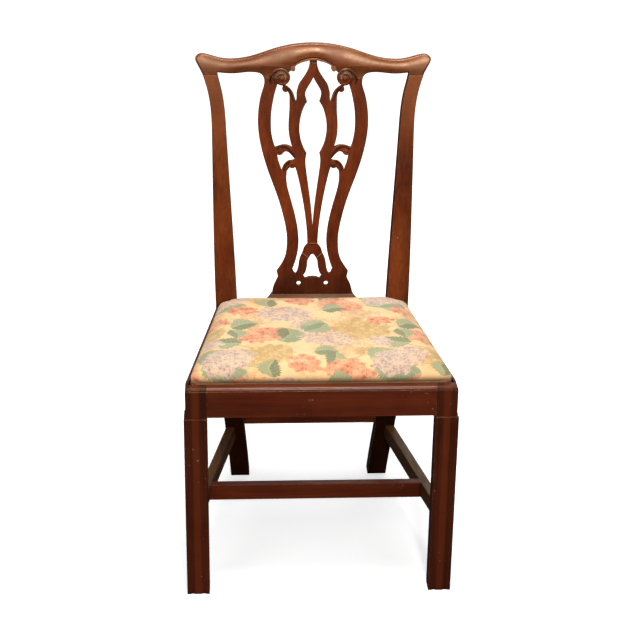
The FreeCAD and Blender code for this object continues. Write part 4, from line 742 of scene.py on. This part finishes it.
def makePlaceGroup():
    # puts a motif down: moves, wraps on the repeat, turns and sizes the vector to the motif's own
    group, given = newGroup("motifPlace", Vector=None, Centre=None, Turn=0.0, Width=0.05, Depth=0.05)
    width, depth = printLook["tile"]
    half = (width / 2, depth / 2, 1.0)
    moved = calcVector(group, "SUBTRACT", given["Vector"], given["Centre"])
    moved = calcVector(group, "WRAP", moved, half, tuple(-side for side in half))
    turned = addNode(group, "VectorRotate", {"Vector": moved, "Angle": given["Turn"]},
                     rotation_type="Z_AXIS").outputs["Vector"]
    sides = addNode(group, "CombineXYZ", {"X": given["Width"], "Y": given["Depth"], "Z": 1.0}).outputs[0]
    return finishGroup(group, Local=calcVector(group, "DIVIDE", turned, sides))


def makeFloretGroup(look):
    # small flowers of a few petals, one in each cell; Home is where the cell's flower stands
    group, given = newGroup("florets", Vector=None, Pitch=0.008)
    scale = calc(group, "DIVIDE", 1.0, given["Pitch"])
    feeds = {"Vector": given["Vector"], "Scale": scale, "Randomness": look["scatter"]}
    cells = addNode(group, "TexVoronoi", feeds, voronoi_dimensions="2D").outputs
    axes = axesOf(group, calcVector(group, "SUBTRACT", given["Vector"], cells["Position"]))
    pick = addNode(group, "SeparateColor", {"Color": cells["Color"]}).outputs
    angle = calc(group, "ADD", calc(group, "ARCTAN2", axes["Y"], axes["X"]),
                 times(group, pick["Green"], look["spin"]))
    wave = calc(group, "COSINE", times(group, angle, look["petals"]))
    lobes = calc(group, "MULTIPLY_ADD", wave, *look["petalWave"])
    return finishGroup(
        group, Home=cells["Position"],
        Petal=spread(group, minus(group, lobes, cells["Distance"]), *look["petalEdge"]),
        Eye=spread(group, cells["Distance"], *look["eyeEdge"], 1.0, 0.0), Pick=pick["Red"])


def makeLeafGroup(look):
    # a leaf on local X from 0 to 1: half width is a sine of the length, with a toothed edge,
    # a middle rib and slanting side ribs
    group, given = newGroup("leaf", Local=None, Teeth=0.05)
    axes = axesOf(group, given["Local"])
    along = calc(group, "MINIMUM", calc(group, "MAXIMUM", axes["X"], 0.0), 1.0)
    bow = times(group, calc(group, "SINE", times(group, along, math.pi)), look["bow"])
    side = minus(group, axes["Y"], bow)
    out = calc(group, "ABSOLUTE", side)
    swell = calc(group, "SINE", times(group, calc(group, "POWER", along, look["swell"]), math.pi))
    tooth = calc(group, "SINE", times(group, along, look["teeth"]))
    half = times(group, swell, calc(group, "MULTIPLY_ADD", tooth, given["Teeth"], 0.5))
    slant = minus(group, along, times(group, out, look["ribSlant"]))
    stripe = calc(group, "FRACT", times(group, slant, look["sideRibs"]))
    sideRib = spread(group, calc(group, "ABSOLUTE", minus(group, stripe, 0.5)), *look["sideRib"])
    middleRib = spread(group, out, *look["middleRib"], 1.0, 0.0)
    return finishGroup(
        group, Mask=spread(group, minus(group, half, out), *look["edge"]),
        Rib=calc(group, "MAXIMUM", times(group, sideRib, look["sideRibShare"]), middleRib),
        Half=spread(group, side, *look["halves"]))


placeGroup = makePlaceGroup()
floretGroup = makeFloretGroup(floretLook)
leafGroup = makeLeafGroup(leafLook)


def putDown(tree, vector, x, y, width, depth, turn):
    # the vector as a motif sees it
    return useGroup(tree, placeGroup, Vector=vector, Centre=(x, y, 0.0), Turn=math.radians(turn),
                    Width=width, Depth=depth)["Local"]


def clusterMask(tree, home, ovals):
    # all the cells whose flower stands inside one of the ragged ovals
    total = None
    ragged = times(tree, noise(tree, home, **printLook["clusterNoise"]), printLook["clusterRagged"])
    for oval in ovals:
        flat = calcVector(tree, "MULTIPLY", putDown(tree, home, *oval), (1.0, 1.0, 0.0))
        out = calc(tree, "ADD", calcVector(tree, "LENGTH", flat), ragged)
        inside = spread(tree, out, *printLook["clusterEdge"], 1.0, 0.0)
        total = inside if total is None else calc(tree, "MAXIMUM", total, inside)
    return total


def makePrint(name, look):
    material, tree, shader = newMaterial(name)
    cloth = addNode(tree, "UVMap", uv_map="cloth").outputs["UV"]
    drawn = calcVector(tree, "ADD", cloth, shake(tree, cloth, **look["hand"]))
    colour = mixColour(tree, patches(tree, cloth, **look["warmWashes"]), look["ground"], look["groundWarm"])
    colour = stain(tree, colour, patches(tree, cloth, **look["coolWashes"]), look["groundCool"])
    faint = useGroup(tree, floretGroup, Vector=drawn, Pitch=look["outlinePitch"])["Petal"]
    seen = patches(tree, cloth, **look["outlinePatches"])
    colour = stain(tree, colour, times(tree, minus(tree, 1.0, faint), seen), look["outline"])
    turns, rise = look["stemWave"]
    for x, y, length, turn in look["stems"]:
        axes = axesOf(tree, putDown(tree, drawn, x, y, length, length * look["stemDepth"], turn))
        wave = times(tree, calc(tree, "SINE", times(tree, axes["X"], turns)), rise)
        line = calc(tree, "ABSOLUTE", minus(tree, axes["Y"], wave))
        ends = calc(tree, "LESS_THAN", calc(tree, "ABSOLUTE", minus(tree, axes["X"], 0.5)), 0.5)
        mask = times(tree, spread(tree, line, *look["stemWidth"], 1.0, 0.0), ends)
        colour = stain(tree, colour, mask, *look["stem"])

    def addFlowers(under, kind):
        small = useGroup(tree, floretGroup, Vector=drawn, Pitch=kind["pitch"])
        mask = clusterMask(tree, small["Home"], kind["ovals"])
        share = calc(tree, "ADD", times(tree, small["Pick"], look["floretPick"]),
                     patches(tree, cloth, **look["florets"]))
        share = minus(tree, share, look["floretPale"], clamp=True)
        petal = mixColour(tree, share, kind["pale"], kind["dark"])
        petal = stain(tree, petal, small["Eye"], kind["eye"], look["eyeShare"])
        gap = mixColour(tree, look["gapShare"], kind["gap"], petal)
        ink = mixColour(tree, small["Petal"], gap, petal)
        return mixColour(tree, times(tree, mask, kind["strength"]), under, ink)

    def addLeaf(under, x, y, length, width, turn, blue):
        form = useGroup(tree, leafGroup, Local=putDown(tree, drawn, x, y, length, length * width * 2, turn))
        deepInk = [a + (b - a) * blue for a, b in zip(look["leafDeep"], look["leafBlue"])]
        half = calc(tree, "MULTIPLY_ADD", form["Half"], *look["leafHalves"])
        tone = mixColour(tree, half, deepInk, look["leafPale"])
        tone = stain(tree, tone, form["Rib"], *look["leafRib"])
        return mixColour(tree, times(tree, form["Mask"], look["leafShare"]), under, tone)

    # half of the leaves lie under the lilac and coral flowers, and half on them
    middle = len(look["leaves"]) // 2
    for kinds, leaves in ((("bloom", "tan"), look["leaves"][:middle]),
                          (("lilac", "coral"), look["leaves"][middle:])):
        for kind in kinds:
            colour = addFlowers(colour, look[kind])
        for leaf in leaves:
            colour = addLeaf(colour, *leaf)

    colour = stain(tree, colour, patches(tree, cloth, **look["speckles"]), look["speckle"])
    weave = useGroup(tree, weaveGroup, Vector=cloth, Thread=look["thread"])
    colour = mixColour(tree, look["weaveShade"], colour, weave["Shade"], "MULTIPLY")
    yellow = patches(tree, cloth, **look["yellowPatches"])
    colour = stain(tree, colour, yellow, look["yellowed"], blend="MULTIPLY")
    # painted shade along the front of the seat
    front = spread(tree, axesOf(tree, cloth)["Y"], *look["frontShadeFade"])
    colour = stain(tree, colour, front, look["front"], blend="MULTIPLY")
    # painted shade at the foot of the sides, where they meet the rails
    foot = spread(tree, axesOf(tree, objectPlace(tree))["Z"], *look["footShadeFade"])
    colour = stain(tree, colour, foot, look["foot"])
    # dust and painted shade in the creases
    grimeAndShade = useGroup(tree, grimeAndShadeGroup, Vector=cloth, Reach=0.008)["Grime"]
    feed(tree, shader, {
        "Base Color": stain(tree, colour, grimeAndShade, *look["grimeAndShade"]),
        "Roughness": spread(tree, weave["Height"], 0.0, 1.0, *look["rough"]),
        "Sheen Weight": 0.15, "Sheen Roughness": 0.5, "Specular IOR Level": 0.3})
    addBump(tree, shader, weave["Height"], *look["relief"])
    return material


printedCotton = makePrint("printedCotton", printLook)
print("printed cotton made")


# plain cloths: dust cover, webbing and hessian

clothLook = {
    "clouds": dict(scale=30.0, detail=4.0, roughness=0.65),
    "weaveShade": 0.8,
    "rough": (0.95, 0.8),
    "sheen": 0.1,
    "relief": (0.5, 0.5),                     # strength, and depth as a share of the thread
}

clothKinds = {
    "blackCambric": dict(thread=0.0005, slub=0.3, dark=(20, 20, 22), light=(40, 38, 38)),
    "juteWebbing": dict(thread=0.0016, slub=0.5, dark=(128, 100, 62), light=(168, 138, 94)),
    "hessian": dict(thread=0.0013, slub=0.8, dark=(140, 112, 72), light=(178, 150, 104)),
}


def makeCloth(name, look):
    material, tree, shader = newMaterial(name)
    where = objectPlace(tree)
    weave = useGroup(tree, weaveGroup, Vector=where, Thread=look["thread"], Slub=look["slub"])
    colour = mixColour(tree, patches(tree, where, **clothLook["clouds"]), look["dark"], look["light"])
    feed(tree, shader, {
        "Base Color": mixColour(tree, clothLook["weaveShade"], colour, weave["Shade"], "MULTIPLY"),
        "Roughness": spread(tree, weave["Height"], 0.0, 1.0, *clothLook["rough"]),
        "Sheen Weight": clothLook["sheen"]})
    strength, share = clothLook["relief"]
    addBump(tree, shader, weave["Height"], strength, look["thread"] * share)
    return material


cloths = {name: makeCloth(name, look) for name, look in clothKinds.items()}


# the drop-in seat

seatShape = {
    "frontY": -0.2358,                  # outline of the cover at the foot of its sides, in metres
    "backY": 0.1457,
    "frontHalf": 0.2501,
    "backHalf": 0.1941,
    "frontRadius": 0.013,
    "backRadius": 0.036,
    "frontGrowth": 0.6,                 # how much a corner's radius grows as the outline is set in
    "backGrowth": 0.3,
    "ringReach": 0.9,                   # how far in the rings of a sheet follow the outline, as a share
    "blendFrom": 0.35,                  # where the rings take over from the plain trapezoid
    "blendOver": 0.6,
}

padLook = {
    "bulge": 0.0034,                    # how far the cloth swells over the rims
    "lipRise": 0.0058,                  # from the rims to the widest place
    "domeReach": 0.100,                 # the dome is flat further in than this
    "shoulder": 0.0080,                 # inset at which the closer rows of the edge end
    "hem": 0.0230,
    "across": 124,                      # cells from side to side, sides and hem among them
    "deep": 104,
    "hemRows": 3,
    "sideRows": 4,
    "lipRows": 3,
    "shoulderRows": 7,
    "clothThickness": 0.0011,
    "pressure": 4.0,                    # of the filling, and the furthest that it moves the cloth
    "cap": 0.005,
    "steps": 20,
    "cotton": dict(quality=6, mass=0.3, bending_stiffness=0.4, shrink_min=-0.006),
    "domeFall": 3.6,                    # powers of the superellipse of the dome
    "domeRound": 0.34,
    "shoulderGrowth": 2.6,              # how the rows of the shoulder get wider
    "hemGap": 0.0002,                   # room under the hem, over the rims and under the crown
    "rimGap": 0.0003,
    "crownGap": 0.0005,
    "domeSamples": 60,
    "outwardFrom": 0.004,               # inset at which the way outwards is taken
    "sideLength": 0.42,                 # about the length of a side, for the pleats
    "pleat": 0.0011,                    # depth, spacing and reach of the pleats at the corners
    "pleatPitch": 0.011,
    "pleatReach": 0.020,
    "pleatRise": 0.030,
}


def seatOutline(shape, inset, around):
    # rounded trapezoid set in by inset, or out at the front and sides where inset is below 0.
    # around runs 0 to 4, one unit for each side from the front right corner; a place near a corner
    # is drawn towards the centre of that corner's arc.
    slope = (shape["frontHalf"] - shape["backHalf"]) / (shape["backY"] - shape["frontY"])
    stretch = math.sqrt(1 + slope ** 2)
    front, back = shape["frontY"] + inset, shape["backY"] - np.maximum(inset, 0)
    frontHalf = shape["frontHalf"] - slope * inset - inset * stretch
    backHalf = shape["backHalf"] + slope * np.maximum(inset, 0) - inset * stretch
    corners = np.stack([np.stack([frontHalf, front], -1), np.stack([backHalf, back], -1),
                        np.stack([-backHalf, back], -1), np.stack([-frontHalf, front], -1)])
    frontRadius = shape["frontRadius"] + shape["frontGrowth"] * inset
    backRadius = shape["backRadius"] + shape["backGrowth"] * inset
    radii = np.stack([frontRadius, backRadius, backRadius, frontRadius])
    side = np.floor(around).astype(int) % 4
    share = (around - np.floor(around))[:, None]
    each = np.arange(len(around))
    straight = corners[side, each] * (1 - share) + corners[(side + 1) % 4, each] * share
    near = np.where(share[:, 0] < 0.5, side, (side + 1) % 4)
    corner, radius = corners[near, each], radii[near, each][:, None]
    before = corners[(near - 1) % 4, each] - corner
    after = corners[(near + 1) % 4, each] - corner
    before = before / np.linalg.norm(before, axis=1)[:, None]
    after = after / np.linalg.norm(after, axis=1)[:, None]
    halfAngle = np.arccos((before * after).sum(1))[:, None] / 2
    middle = before + after
    middle = middle / np.linalg.norm(middle, axis=1)[:, None]
    centre = corner + middle * radius / np.sin(halfAngle)
    away = straight - centre
    arc = centre + away / np.linalg.norm(away, axis=1)[:, None] * radius
    onArc = np.linalg.norm(straight - corner, axis=1)[:, None] < radius / np.tan(halfAngle)
    return np.where(onArc, arc, straight)


def squareRings(across, deep):
    # a grid seen as square rings: the ring of each point counted from the rim, its place around
    # that ring from 0 to 4, and its place on the grid from -1 to 1 each way
    row, column = np.meshgrid(np.arange(deep + 1), np.arange(across + 1), indexing="ij")
    row, column = row.ravel(), column.ravel()
    ring = np.minimum.reduce([row, column, deep - row, across - column])
    wide = np.maximum(across - 2 * ring, 1)
    tall = np.maximum(deep - 2 * ring, 1)
    onRight, onBack, onLeft = column == across - ring, row == deep - ring, column == ring
    around = np.select([onRight & (row < deep - ring), onBack & (column > ring), onLeft & (row > ring)],
                       [(row - ring) / tall, 1 + (across - ring - column) / wide,
                        2 + (deep - ring - row) / tall],
                       3 + (column - ring) / wide)
    return ring, around, 2 * column / across - 1, 2 * row / deep - 1


def flatSeatGrid(shape, inset, across, deep, rimRings=0):
    # points of a sheet cut to the seat's outline: the rim follows the rounded outline, and towards
    # the middle it blends into the plain trapezoid, so that the threads stay straight
    ring, around, sideways, depthways = squareRings(across, deep)
    inner = np.maximum(ring - rimRings, 0)
    rings = min(across, deep) / 2 - rimRings
    out = 1 - inner / rings
    halfDepth = (shape["backY"] - shape["frontY"]) / 2 - inset
    rimInset = inset + (1 - out) * halfDepth * shape["ringReach"]
    rim = seatOutline(shape, rimInset, around)
    scaleAcross = across / (across - 2 * rimRings)
    scaleDeep = deep / (deep - 2 * rimRings)
    u = np.clip(sideways * scaleAcross, -1, 1)
    v = np.clip(depthways * scaleDeep, -1, 1)
    y = (shape["frontY"] + shape["backY"]) / 2 + v * halfDepth
    share = (y - shape["frontY"]) / (shape["backY"] - shape["frontY"])
    half = shape["frontHalf"] + (shape["backHalf"] - shape["frontHalf"]) * share - inset
    plain = np.stack([u * half, y], axis=1)
    weight = np.clip((out - shape["blendFrom"]) / shape["blendOver"], 0, 1)[:, None]
    weight = weight ** 2 * (3 - 2 * weight)
    return plain * (1 - weight) + rim * weight, ring, around, rimInset


def swell(piece, pinned, look, floor):
    # fills the piece with pressure while the pinned points hold, keeps every move under the cap, and
    # rests the free cloth on the rims, whose height is the floor
    mesh = piece.data
    start = np.empty(len(mesh.vertices) * 3)
    mesh.vertices.foreach_get("co", start)
    start = start.reshape(-1, 3)
    hold = piece.vertex_groups.new(name="pinned")
    hold.add(np.flatnonzero(pinned).tolist(), 1.0, "REPLACE")
    cloth = piece.modifiers.new("cloth", "CLOTH")
    cloth.settings.vertex_group_mass = "pinned"
    for key, value in look["cotton"].items():
        setattr(cloth.settings, key, value)
    cloth.settings.use_pressure = True
    cloth.settings.uniform_pressure_force = look["pressure"]
    cloth.settings.effector_weights.gravity = 0.0
    for step in range(look["steps"]):
        bpy.context.scene.frame_set(step + 1)
    filled = piece.evaluated_get(bpy.context.evaluated_depsgraph_get()).to_mesh()
    moved = np.empty(len(mesh.vertices) * 3)
    filled.vertices.foreach_get("co", moved)
    moved = moved.reshape(-1, 3) - start
    reach = np.linalg.norm(moved, axis=1)[:, None]
    moved *= np.minimum(1, look["cap"] / np.maximum(reach, 1e-9))
    piece.modifiers.remove(cloth)
    piece.vertex_groups.remove(hold)
    end = start + moved
    end[~pinned, 2] = np.maximum(end[~pinned, 2], floor)
    mesh.vertices.foreach_set("co", end.ravel())
    mesh.update()
    bpy.context.scene.frame_set(1)
    print(piece.name, "swelled by", round(float(reach.max()) * 1000, 1), "mm at most")


def addThickness(piece, thickness, levels=0):
    if levels:
        smooth = piece.modifiers.new("smooth", "SUBSURF")
        smooth.levels = levels
        smooth.render_levels = levels
    wall = piece.modifiers.new("wall", "SOLIDIFY")
    wall.thickness = thickness
    wall.offset = -1.0


def makePad(shape, look):
    # rows of the edge from the hem up: hem, side in the rebate, lip that swells over the rims as a
    # quarter ellipse, and shoulder; over the widest place the height is a superellipse of the inset
    low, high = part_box("seat_cover")
    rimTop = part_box("front_seat_rail")[1][2]
    foot, crownFoot = low[2] + look["hemGap"], rimTop + look["rimGap"]
    widest = crownFoot + look["lipRise"]
    crown = high[2] - look["crownGap"] - widest
    reach = look["domeReach"] + look["bulge"]

    def domeHeight(inset):
        share = np.clip((inset + look["bulge"]) / reach, 0, 1)
        return widest + crown * (1 - (1 - share) ** look["domeFall"]) ** look["domeRound"]

    def steps(rows, lastToo=False):
        return np.linspace(0, 1, rows + lastToo, endpoint=lastToo)

    turn = steps(look["lipRows"]) * math.pi / 2
    growth = steps(look["shoulderRows"]) ** look["shoulderGrowth"]
    shoulder = -look["bulge"] + (look["shoulder"] + look["bulge"]) * growth
    rowInset = np.concatenate([look["hem"] * (1 - steps(look["hemRows"])), np.zeros(look["sideRows"]),
                               -look["bulge"] * np.sin(turn), shoulder])
    rowHeight = np.concatenate([np.full(look["hemRows"], foot),
                                foot + (crownFoot - foot) * steps(look["sideRows"]),
                                crownFoot + look["lipRise"] * (1 - np.cos(turn)), domeHeight(shoulder)])
    rimRings = len(rowInset)
    plan, ring, around, inset = flatSeatGrid(shape, look["shoulder"], look["across"], look["deep"], rimRings)
    onRim = ring < rimRings
    row = np.minimum(ring, rimRings - 1)
    inset = np.where(onRim, rowInset[row], inset)
    plan[onRim] = seatOutline(shape, inset, around)[onRim]
    height = np.where(onRim, rowHeight[row], domeHeight(inset))
    # length of cloth from the flat of the dome out to each place, for the print
    onDome = look["shoulder"] + (look["domeReach"] - look["shoulder"]) * steps(look["domeSamples"], True)
    fineInset = np.concatenate([rowInset, onDome])
    fineHeight = np.concatenate([rowHeight, domeHeight(onDome)])
    run = np.hypot(np.diff(fineInset), np.diff(fineHeight))
    length = np.concatenate([np.cumsum(run[::-1])[::-1], [0.0]])
    spare = length - (look["domeReach"] - fineInset)              # cloth that the plan doesn't show
    extra = np.where(onRim, spare[row], np.interp(inset, onDome, spare[rimRings:]))
    flat = np.full(len(around), look["outwardFrom"])
    outward = seatOutline(shape, flat, around) - seatOutline(shape, 2 * flat, around)
    outward /= np.linalg.norm(outward, axis=1)[:, None]
    cloth = plan + outward * extra[:, None]
    # small pleats at the corners, where the square of cloth has been gathered in
    toCorner = np.abs(around - np.round(around)) * look["sideLength"]
    near = np.exp(-(toCorner / look["pleatReach"]) ** 2 - (inset / look["pleatRise"]) ** 2)
    near = near * (ring >= look["hemRows"])
    fold = (np.cos(toCorner * 2 * math.pi / look["pleatPitch"]) - 1) * near * look["pleat"]
    plan += outward * fold[:, None]
    points = np.column_stack([plan, height])
    faces = gridFaces(look["deep"] + 1, look["across"] + 1)
    piece = newPiece("seat_pad", points, faces, printedCotton, "seat")
    layer = piece.data.uv_layers.new(name="cloth")
    corners = np.empty(len(piece.data.loops), int)
    piece.data.loops.foreach_get("vertex_index", corners)
    layer.data.foreach_set("uv", cloth[corners].ravel())
    inRebate = ring < look["hemRows"] + look["sideRows"]
    swell(piece, inRebate, look, crownFoot)
    addThickness(piece, look["clothThickness"], 1)
    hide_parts("seat_cover", "seat_stuffing")


makePad(seatShape, padLook)
print("seat pad made")


# cloths under the pad: dust cover, hessian and webbing

underLook = {
    "dustInset": 0.0187,
    "dustGap": 0.0001,                  # from the top of the CAD's cloth down to the sheet
    "dustSag": 0.0020,
    "dustCells": (56, 48),              # from side to side and from front to back
    "dustThickness": 0.0004,
    "scallops": 12,                     # of the edge between its tacks, on two sides, and their depth
    "scallopDepth": 0.00015,
    "scallopReach": 0.02,
    "hessianInset": 0.0055,
    "hessianGap": 0.0002,
    "hessianCells": (64, 54),
    "hessianThickness": 0.0005,
    "hessianWave": 0.00012,
    "strapWidth": 0.050,
    "strapPitch": 0.095,
    "strapThickness": 0.0010,
    "strapWave": 0.0006,
    "strapInset": 0.0137,
    "strapRows": 61,
    "strapColumns": 9,
}


def makeDustCover(shape, look):
    # flat sheet whose middle sags as the product of two half cosines, pulled in by its tacks
    cells = look["dustCells"]
    plan, _, around, inset = flatSeatGrid(shape, look["dustInset"], *cells)
    middle = (shape["frontY"] + shape["backY"]) / 2
    sideways = plan[:, 0] / shape["frontHalf"]
    depthways = (plan[:, 1] - middle) / (shape["backY"] - shape["frontY"]) * 2
    sag = np.cos(sideways * math.pi / 2) * np.cos(np.clip(depthways, -1, 1) * math.pi / 2)
    fading = np.exp(-(inset - look["dustInset"]) / look["scallopReach"])
    ripple = np.sin(around * look["scallops"] * math.pi) * fading
    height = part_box("seat_dust_cover")[1][2] - look["dustGap"] - look["dustSag"] * sag
    height = height + look["scallopDepth"] * ripple
    points = np.column_stack([plan, height])
    faces = gridFaces(cells[1] + 1, cells[0] + 1)[:, ::-1]
    piece = newPiece("dust_cover_cloth", points, faces, cloths["blackCambric"], "seat")
    addThickness(piece, look["dustThickness"])
    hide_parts("seat_dust_cover")


def makeHessian(shape, look):
    # flat sheet, pressed down a little between the straps by a product of two waves
    cells = look["hessianCells"]
    plan = flatSeatGrid(shape, look["hessianInset"], *cells)[0]
    hollow = np.cos(plan * 2 * math.pi / look["strapPitch"]).prod(axis=1)
    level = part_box("seat_hessian")[1][2] - look["hessianGap"]
    points = np.column_stack([plan, level + look["hessianWave"] * hollow])
    faces = gridFaces(cells[1] + 1, cells[0] + 1)
    piece = newPiece("hessian_cloth", points, faces, cloths["hessian"], "seat")
    addThickness(piece, look["hessianThickness"])
    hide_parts("seat_hessian")


def makeWebbing(shape, look):
    # each strap is a strip along its line whose height is a cosine, so that it passes over and under
    middle = (shape["frontY"] + shape["backY"]) / 2
    slope = (shape["frontHalf"] - shape["backHalf"]) / (shape["backY"] - shape["frontY"])
    low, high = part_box("seat_webbing")
    level = (low[2] + high[2]) / 2 + look["strapThickness"] / 2
    lengths, allPoints, allFaces, count = [], [], [], 0
    for direction in (0, 1):
        for step in (-1, 0, 1):
            place = step * look["strapPitch"] + (middle if direction else 0)
            if direction:
                back = place + look["strapWidth"] / 2 - shape["frontY"]
                reach = shape["frontHalf"] - back * slope - look["strapInset"]
                ends = (-reach, reach)
            else:
                ends = (shape["frontY"] + look["strapInset"], shape["backY"] - look["strapInset"])
            width = np.linspace(-0.5, 0.5, look["strapColumns"]) * look["strapWidth"]
            along, side = np.meshgrid(np.linspace(*ends, look["strapRows"]), width, indexing="ij")
            along, side = along.ravel(), side.ravel() + place
            phase = (along - (0 if direction else middle)) * math.pi / look["strapPitch"] + step * math.pi
            height = level + look["strapWave"] * np.cos(phase) * (1 if direction else -1)
            ordered = (along, side) if direction else (side, along)
            allPoints.append(np.column_stack([*ordered, height]))
            faces = gridFaces(look["strapRows"], look["strapColumns"]) + count
            allFaces.append(faces[:, ::-1] if direction else faces)
            count += len(along)
            lengths.append(ends[1] - ends[0])
    piece = newPiece("webbing_straps", np.concatenate(allPoints), np.concatenate(allFaces),
                     cloths["juteWebbing"], "seat")
    addThickness(piece, look["strapThickness"])
    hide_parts("seat_webbing")


makeDustCover(seatShape, underLook)
makeWebbing(seatShape, underLook)
makeHessian(seatShape, underLook)
print("dust cover, webbing and hessian made")


# stage, lights and camera

stageLook = {
    "reflected": (80, 78, 76),            # the floor as the chair reflects it, and as it is seen
    "seen": (250, 250, 250),
    "half": 30.0,
    "near": 0.2,                          # distances between which the floor's own white comes up
    "far": 1.3,
    "nearGlow": 0.56,
    "worldLight": 0.20,
}

lamps = {
    "overhead": dict(place=(0.05, -0.38, 2.45), aim=(0.0, -0.05, 0.5), size=(1.0, 0.8), watts=35),
    "front": dict(place=(0.24, -3.3, 1.85), aim=(0.0, 0.0, 0.8), size=(0.25, 0.4), watts=52),
    "behind": dict(place=(0.9, 2.9, 2.3), aim=(0.0, 0.2, 0.5), size=(1.8, 1.2), watts=16),
    "frontLeft": dict(place=(-2.0, -2.2, 2.2), aim=(0.0, 0.0, 0.7), size=(1.2, 1.2), watts=14),
    "frontRight": dict(place=(2.2, -2.2, 1.8), aim=(0.0, 0.0, 0.7), size=(1.0, 1.2), watts=4),
}

cameraLook = {
    "place": (-0.15587, -2.89816, 1.70535),
    "yaw": 3.530,                         # turns in degrees; it looks down by its pitch
    "pitch": 22.80,
    "roll": 0.939,
    "lens": 88.06,
    "sensor": 36.0,
    "shift": (-0.01147, -0.00768),
}


def seenRay(tree):
    path = addNode(tree, "LightPath").outputs
    return calc(tree, "MAXIMUM", path["Is Camera Ray"], path["Is Transmission Ray"])


def makeFloor(look):
    # white where the camera sees it, and whiter with distance; grey where it is only reflected
    material, tree, shader = newMaterial("paleFloor")
    seen = seenRay(tree)
    away = calcVector(tree, "LENGTH", objectPlace(tree))
    feed(tree, shader, {
        "Base Color": mixColour(tree, seen, look["reflected"], look["seen"]),
        "Roughness": 0.9, "Specular IOR Level": 0.1, "Emission Color": (1.0, 1.0, 1.0, 1.0),
        "Emission Strength": times(tree, seen, spread(tree, away, look["near"], look["far"],
                                                      look["nearGlow"], 1.0))})
    corners = np.array([(-1, -1, 0), (1, -1, 0), (1, 1, 0), (-1, 1, 0)]) * look["half"]
    newPiece("floor", corners, [(0, 1, 2, 3)], material)


def makeWorld(look):
    world = bpy.data.worlds.new("studio")
    bpy.context.scene.world = world
    world.use_nodes = True
    tree = world.node_tree
    strength = spread(tree, seenRay(tree), 0.0, 1.0, look["worldLight"], 1.0, smooth=False)
    feed(tree, tree.nodes["Background"], {"Color": (1.0, 1.0, 1.0, 1.0), "Strength": strength})


def makeLamp(name, look):
    light = bpy.data.lights.new(name, "AREA")
    light.shape = "RECTANGLE"
    light.size, light.size_y = look["size"]
    light.energy = look["watts"]
    lamp = bpy.data.objects.new(name, light)
    lamp.location = look["place"]
    ahead = Vector(look["aim"]) - Vector(look["place"])
    lamp.rotation_euler = ahead.to_track_quat("-Z", "Y").to_euler()
    bpy.context.scene.collection.objects.link(lamp)


def makeCamera(look):
    yaw, pitch, roll = (math.radians(look[turn]) for turn in ("yaw", "pitch", "roll"))
    level = Vector((math.sin(yaw), math.cos(yaw), 0.0))
    right = Vector((math.cos(yaw), -math.sin(yaw), 0.0))
    up = Vector((0.0, 0.0, 1.0))
    ahead = level * math.cos(pitch) - up * math.sin(pitch)
    top = up * math.cos(pitch) + level * math.sin(pitch)
    sideways = right * math.cos(roll) + top * math.sin(roll)
    above = top * math.cos(roll) - right * math.sin(roll)
    data = bpy.data.cameras.new("camera")
    data.sensor_width = look["sensor"]
    data.lens = look["lens"]
    data.shift_x, data.shift_y = look["shift"]
    camera = bpy.data.objects.new("camera", data)
    turned = Matrix((sideways, above, -ahead)).transposed().to_4x4()
    camera.matrix_world = Matrix.Translation(look["place"]) @ turned
    bpy.context.scene.collection.objects.link(camera)
    bpy.context.scene.camera = camera


makeFloor(stageLook)
makeWorld(stageLook)
for name, look in lamps.items():
    makeLamp(name, look)
makeCamera(cameraLook)
bpy.context.scene.view_settings.view_transform = "Standard"
print("stage, lamps and camera set")
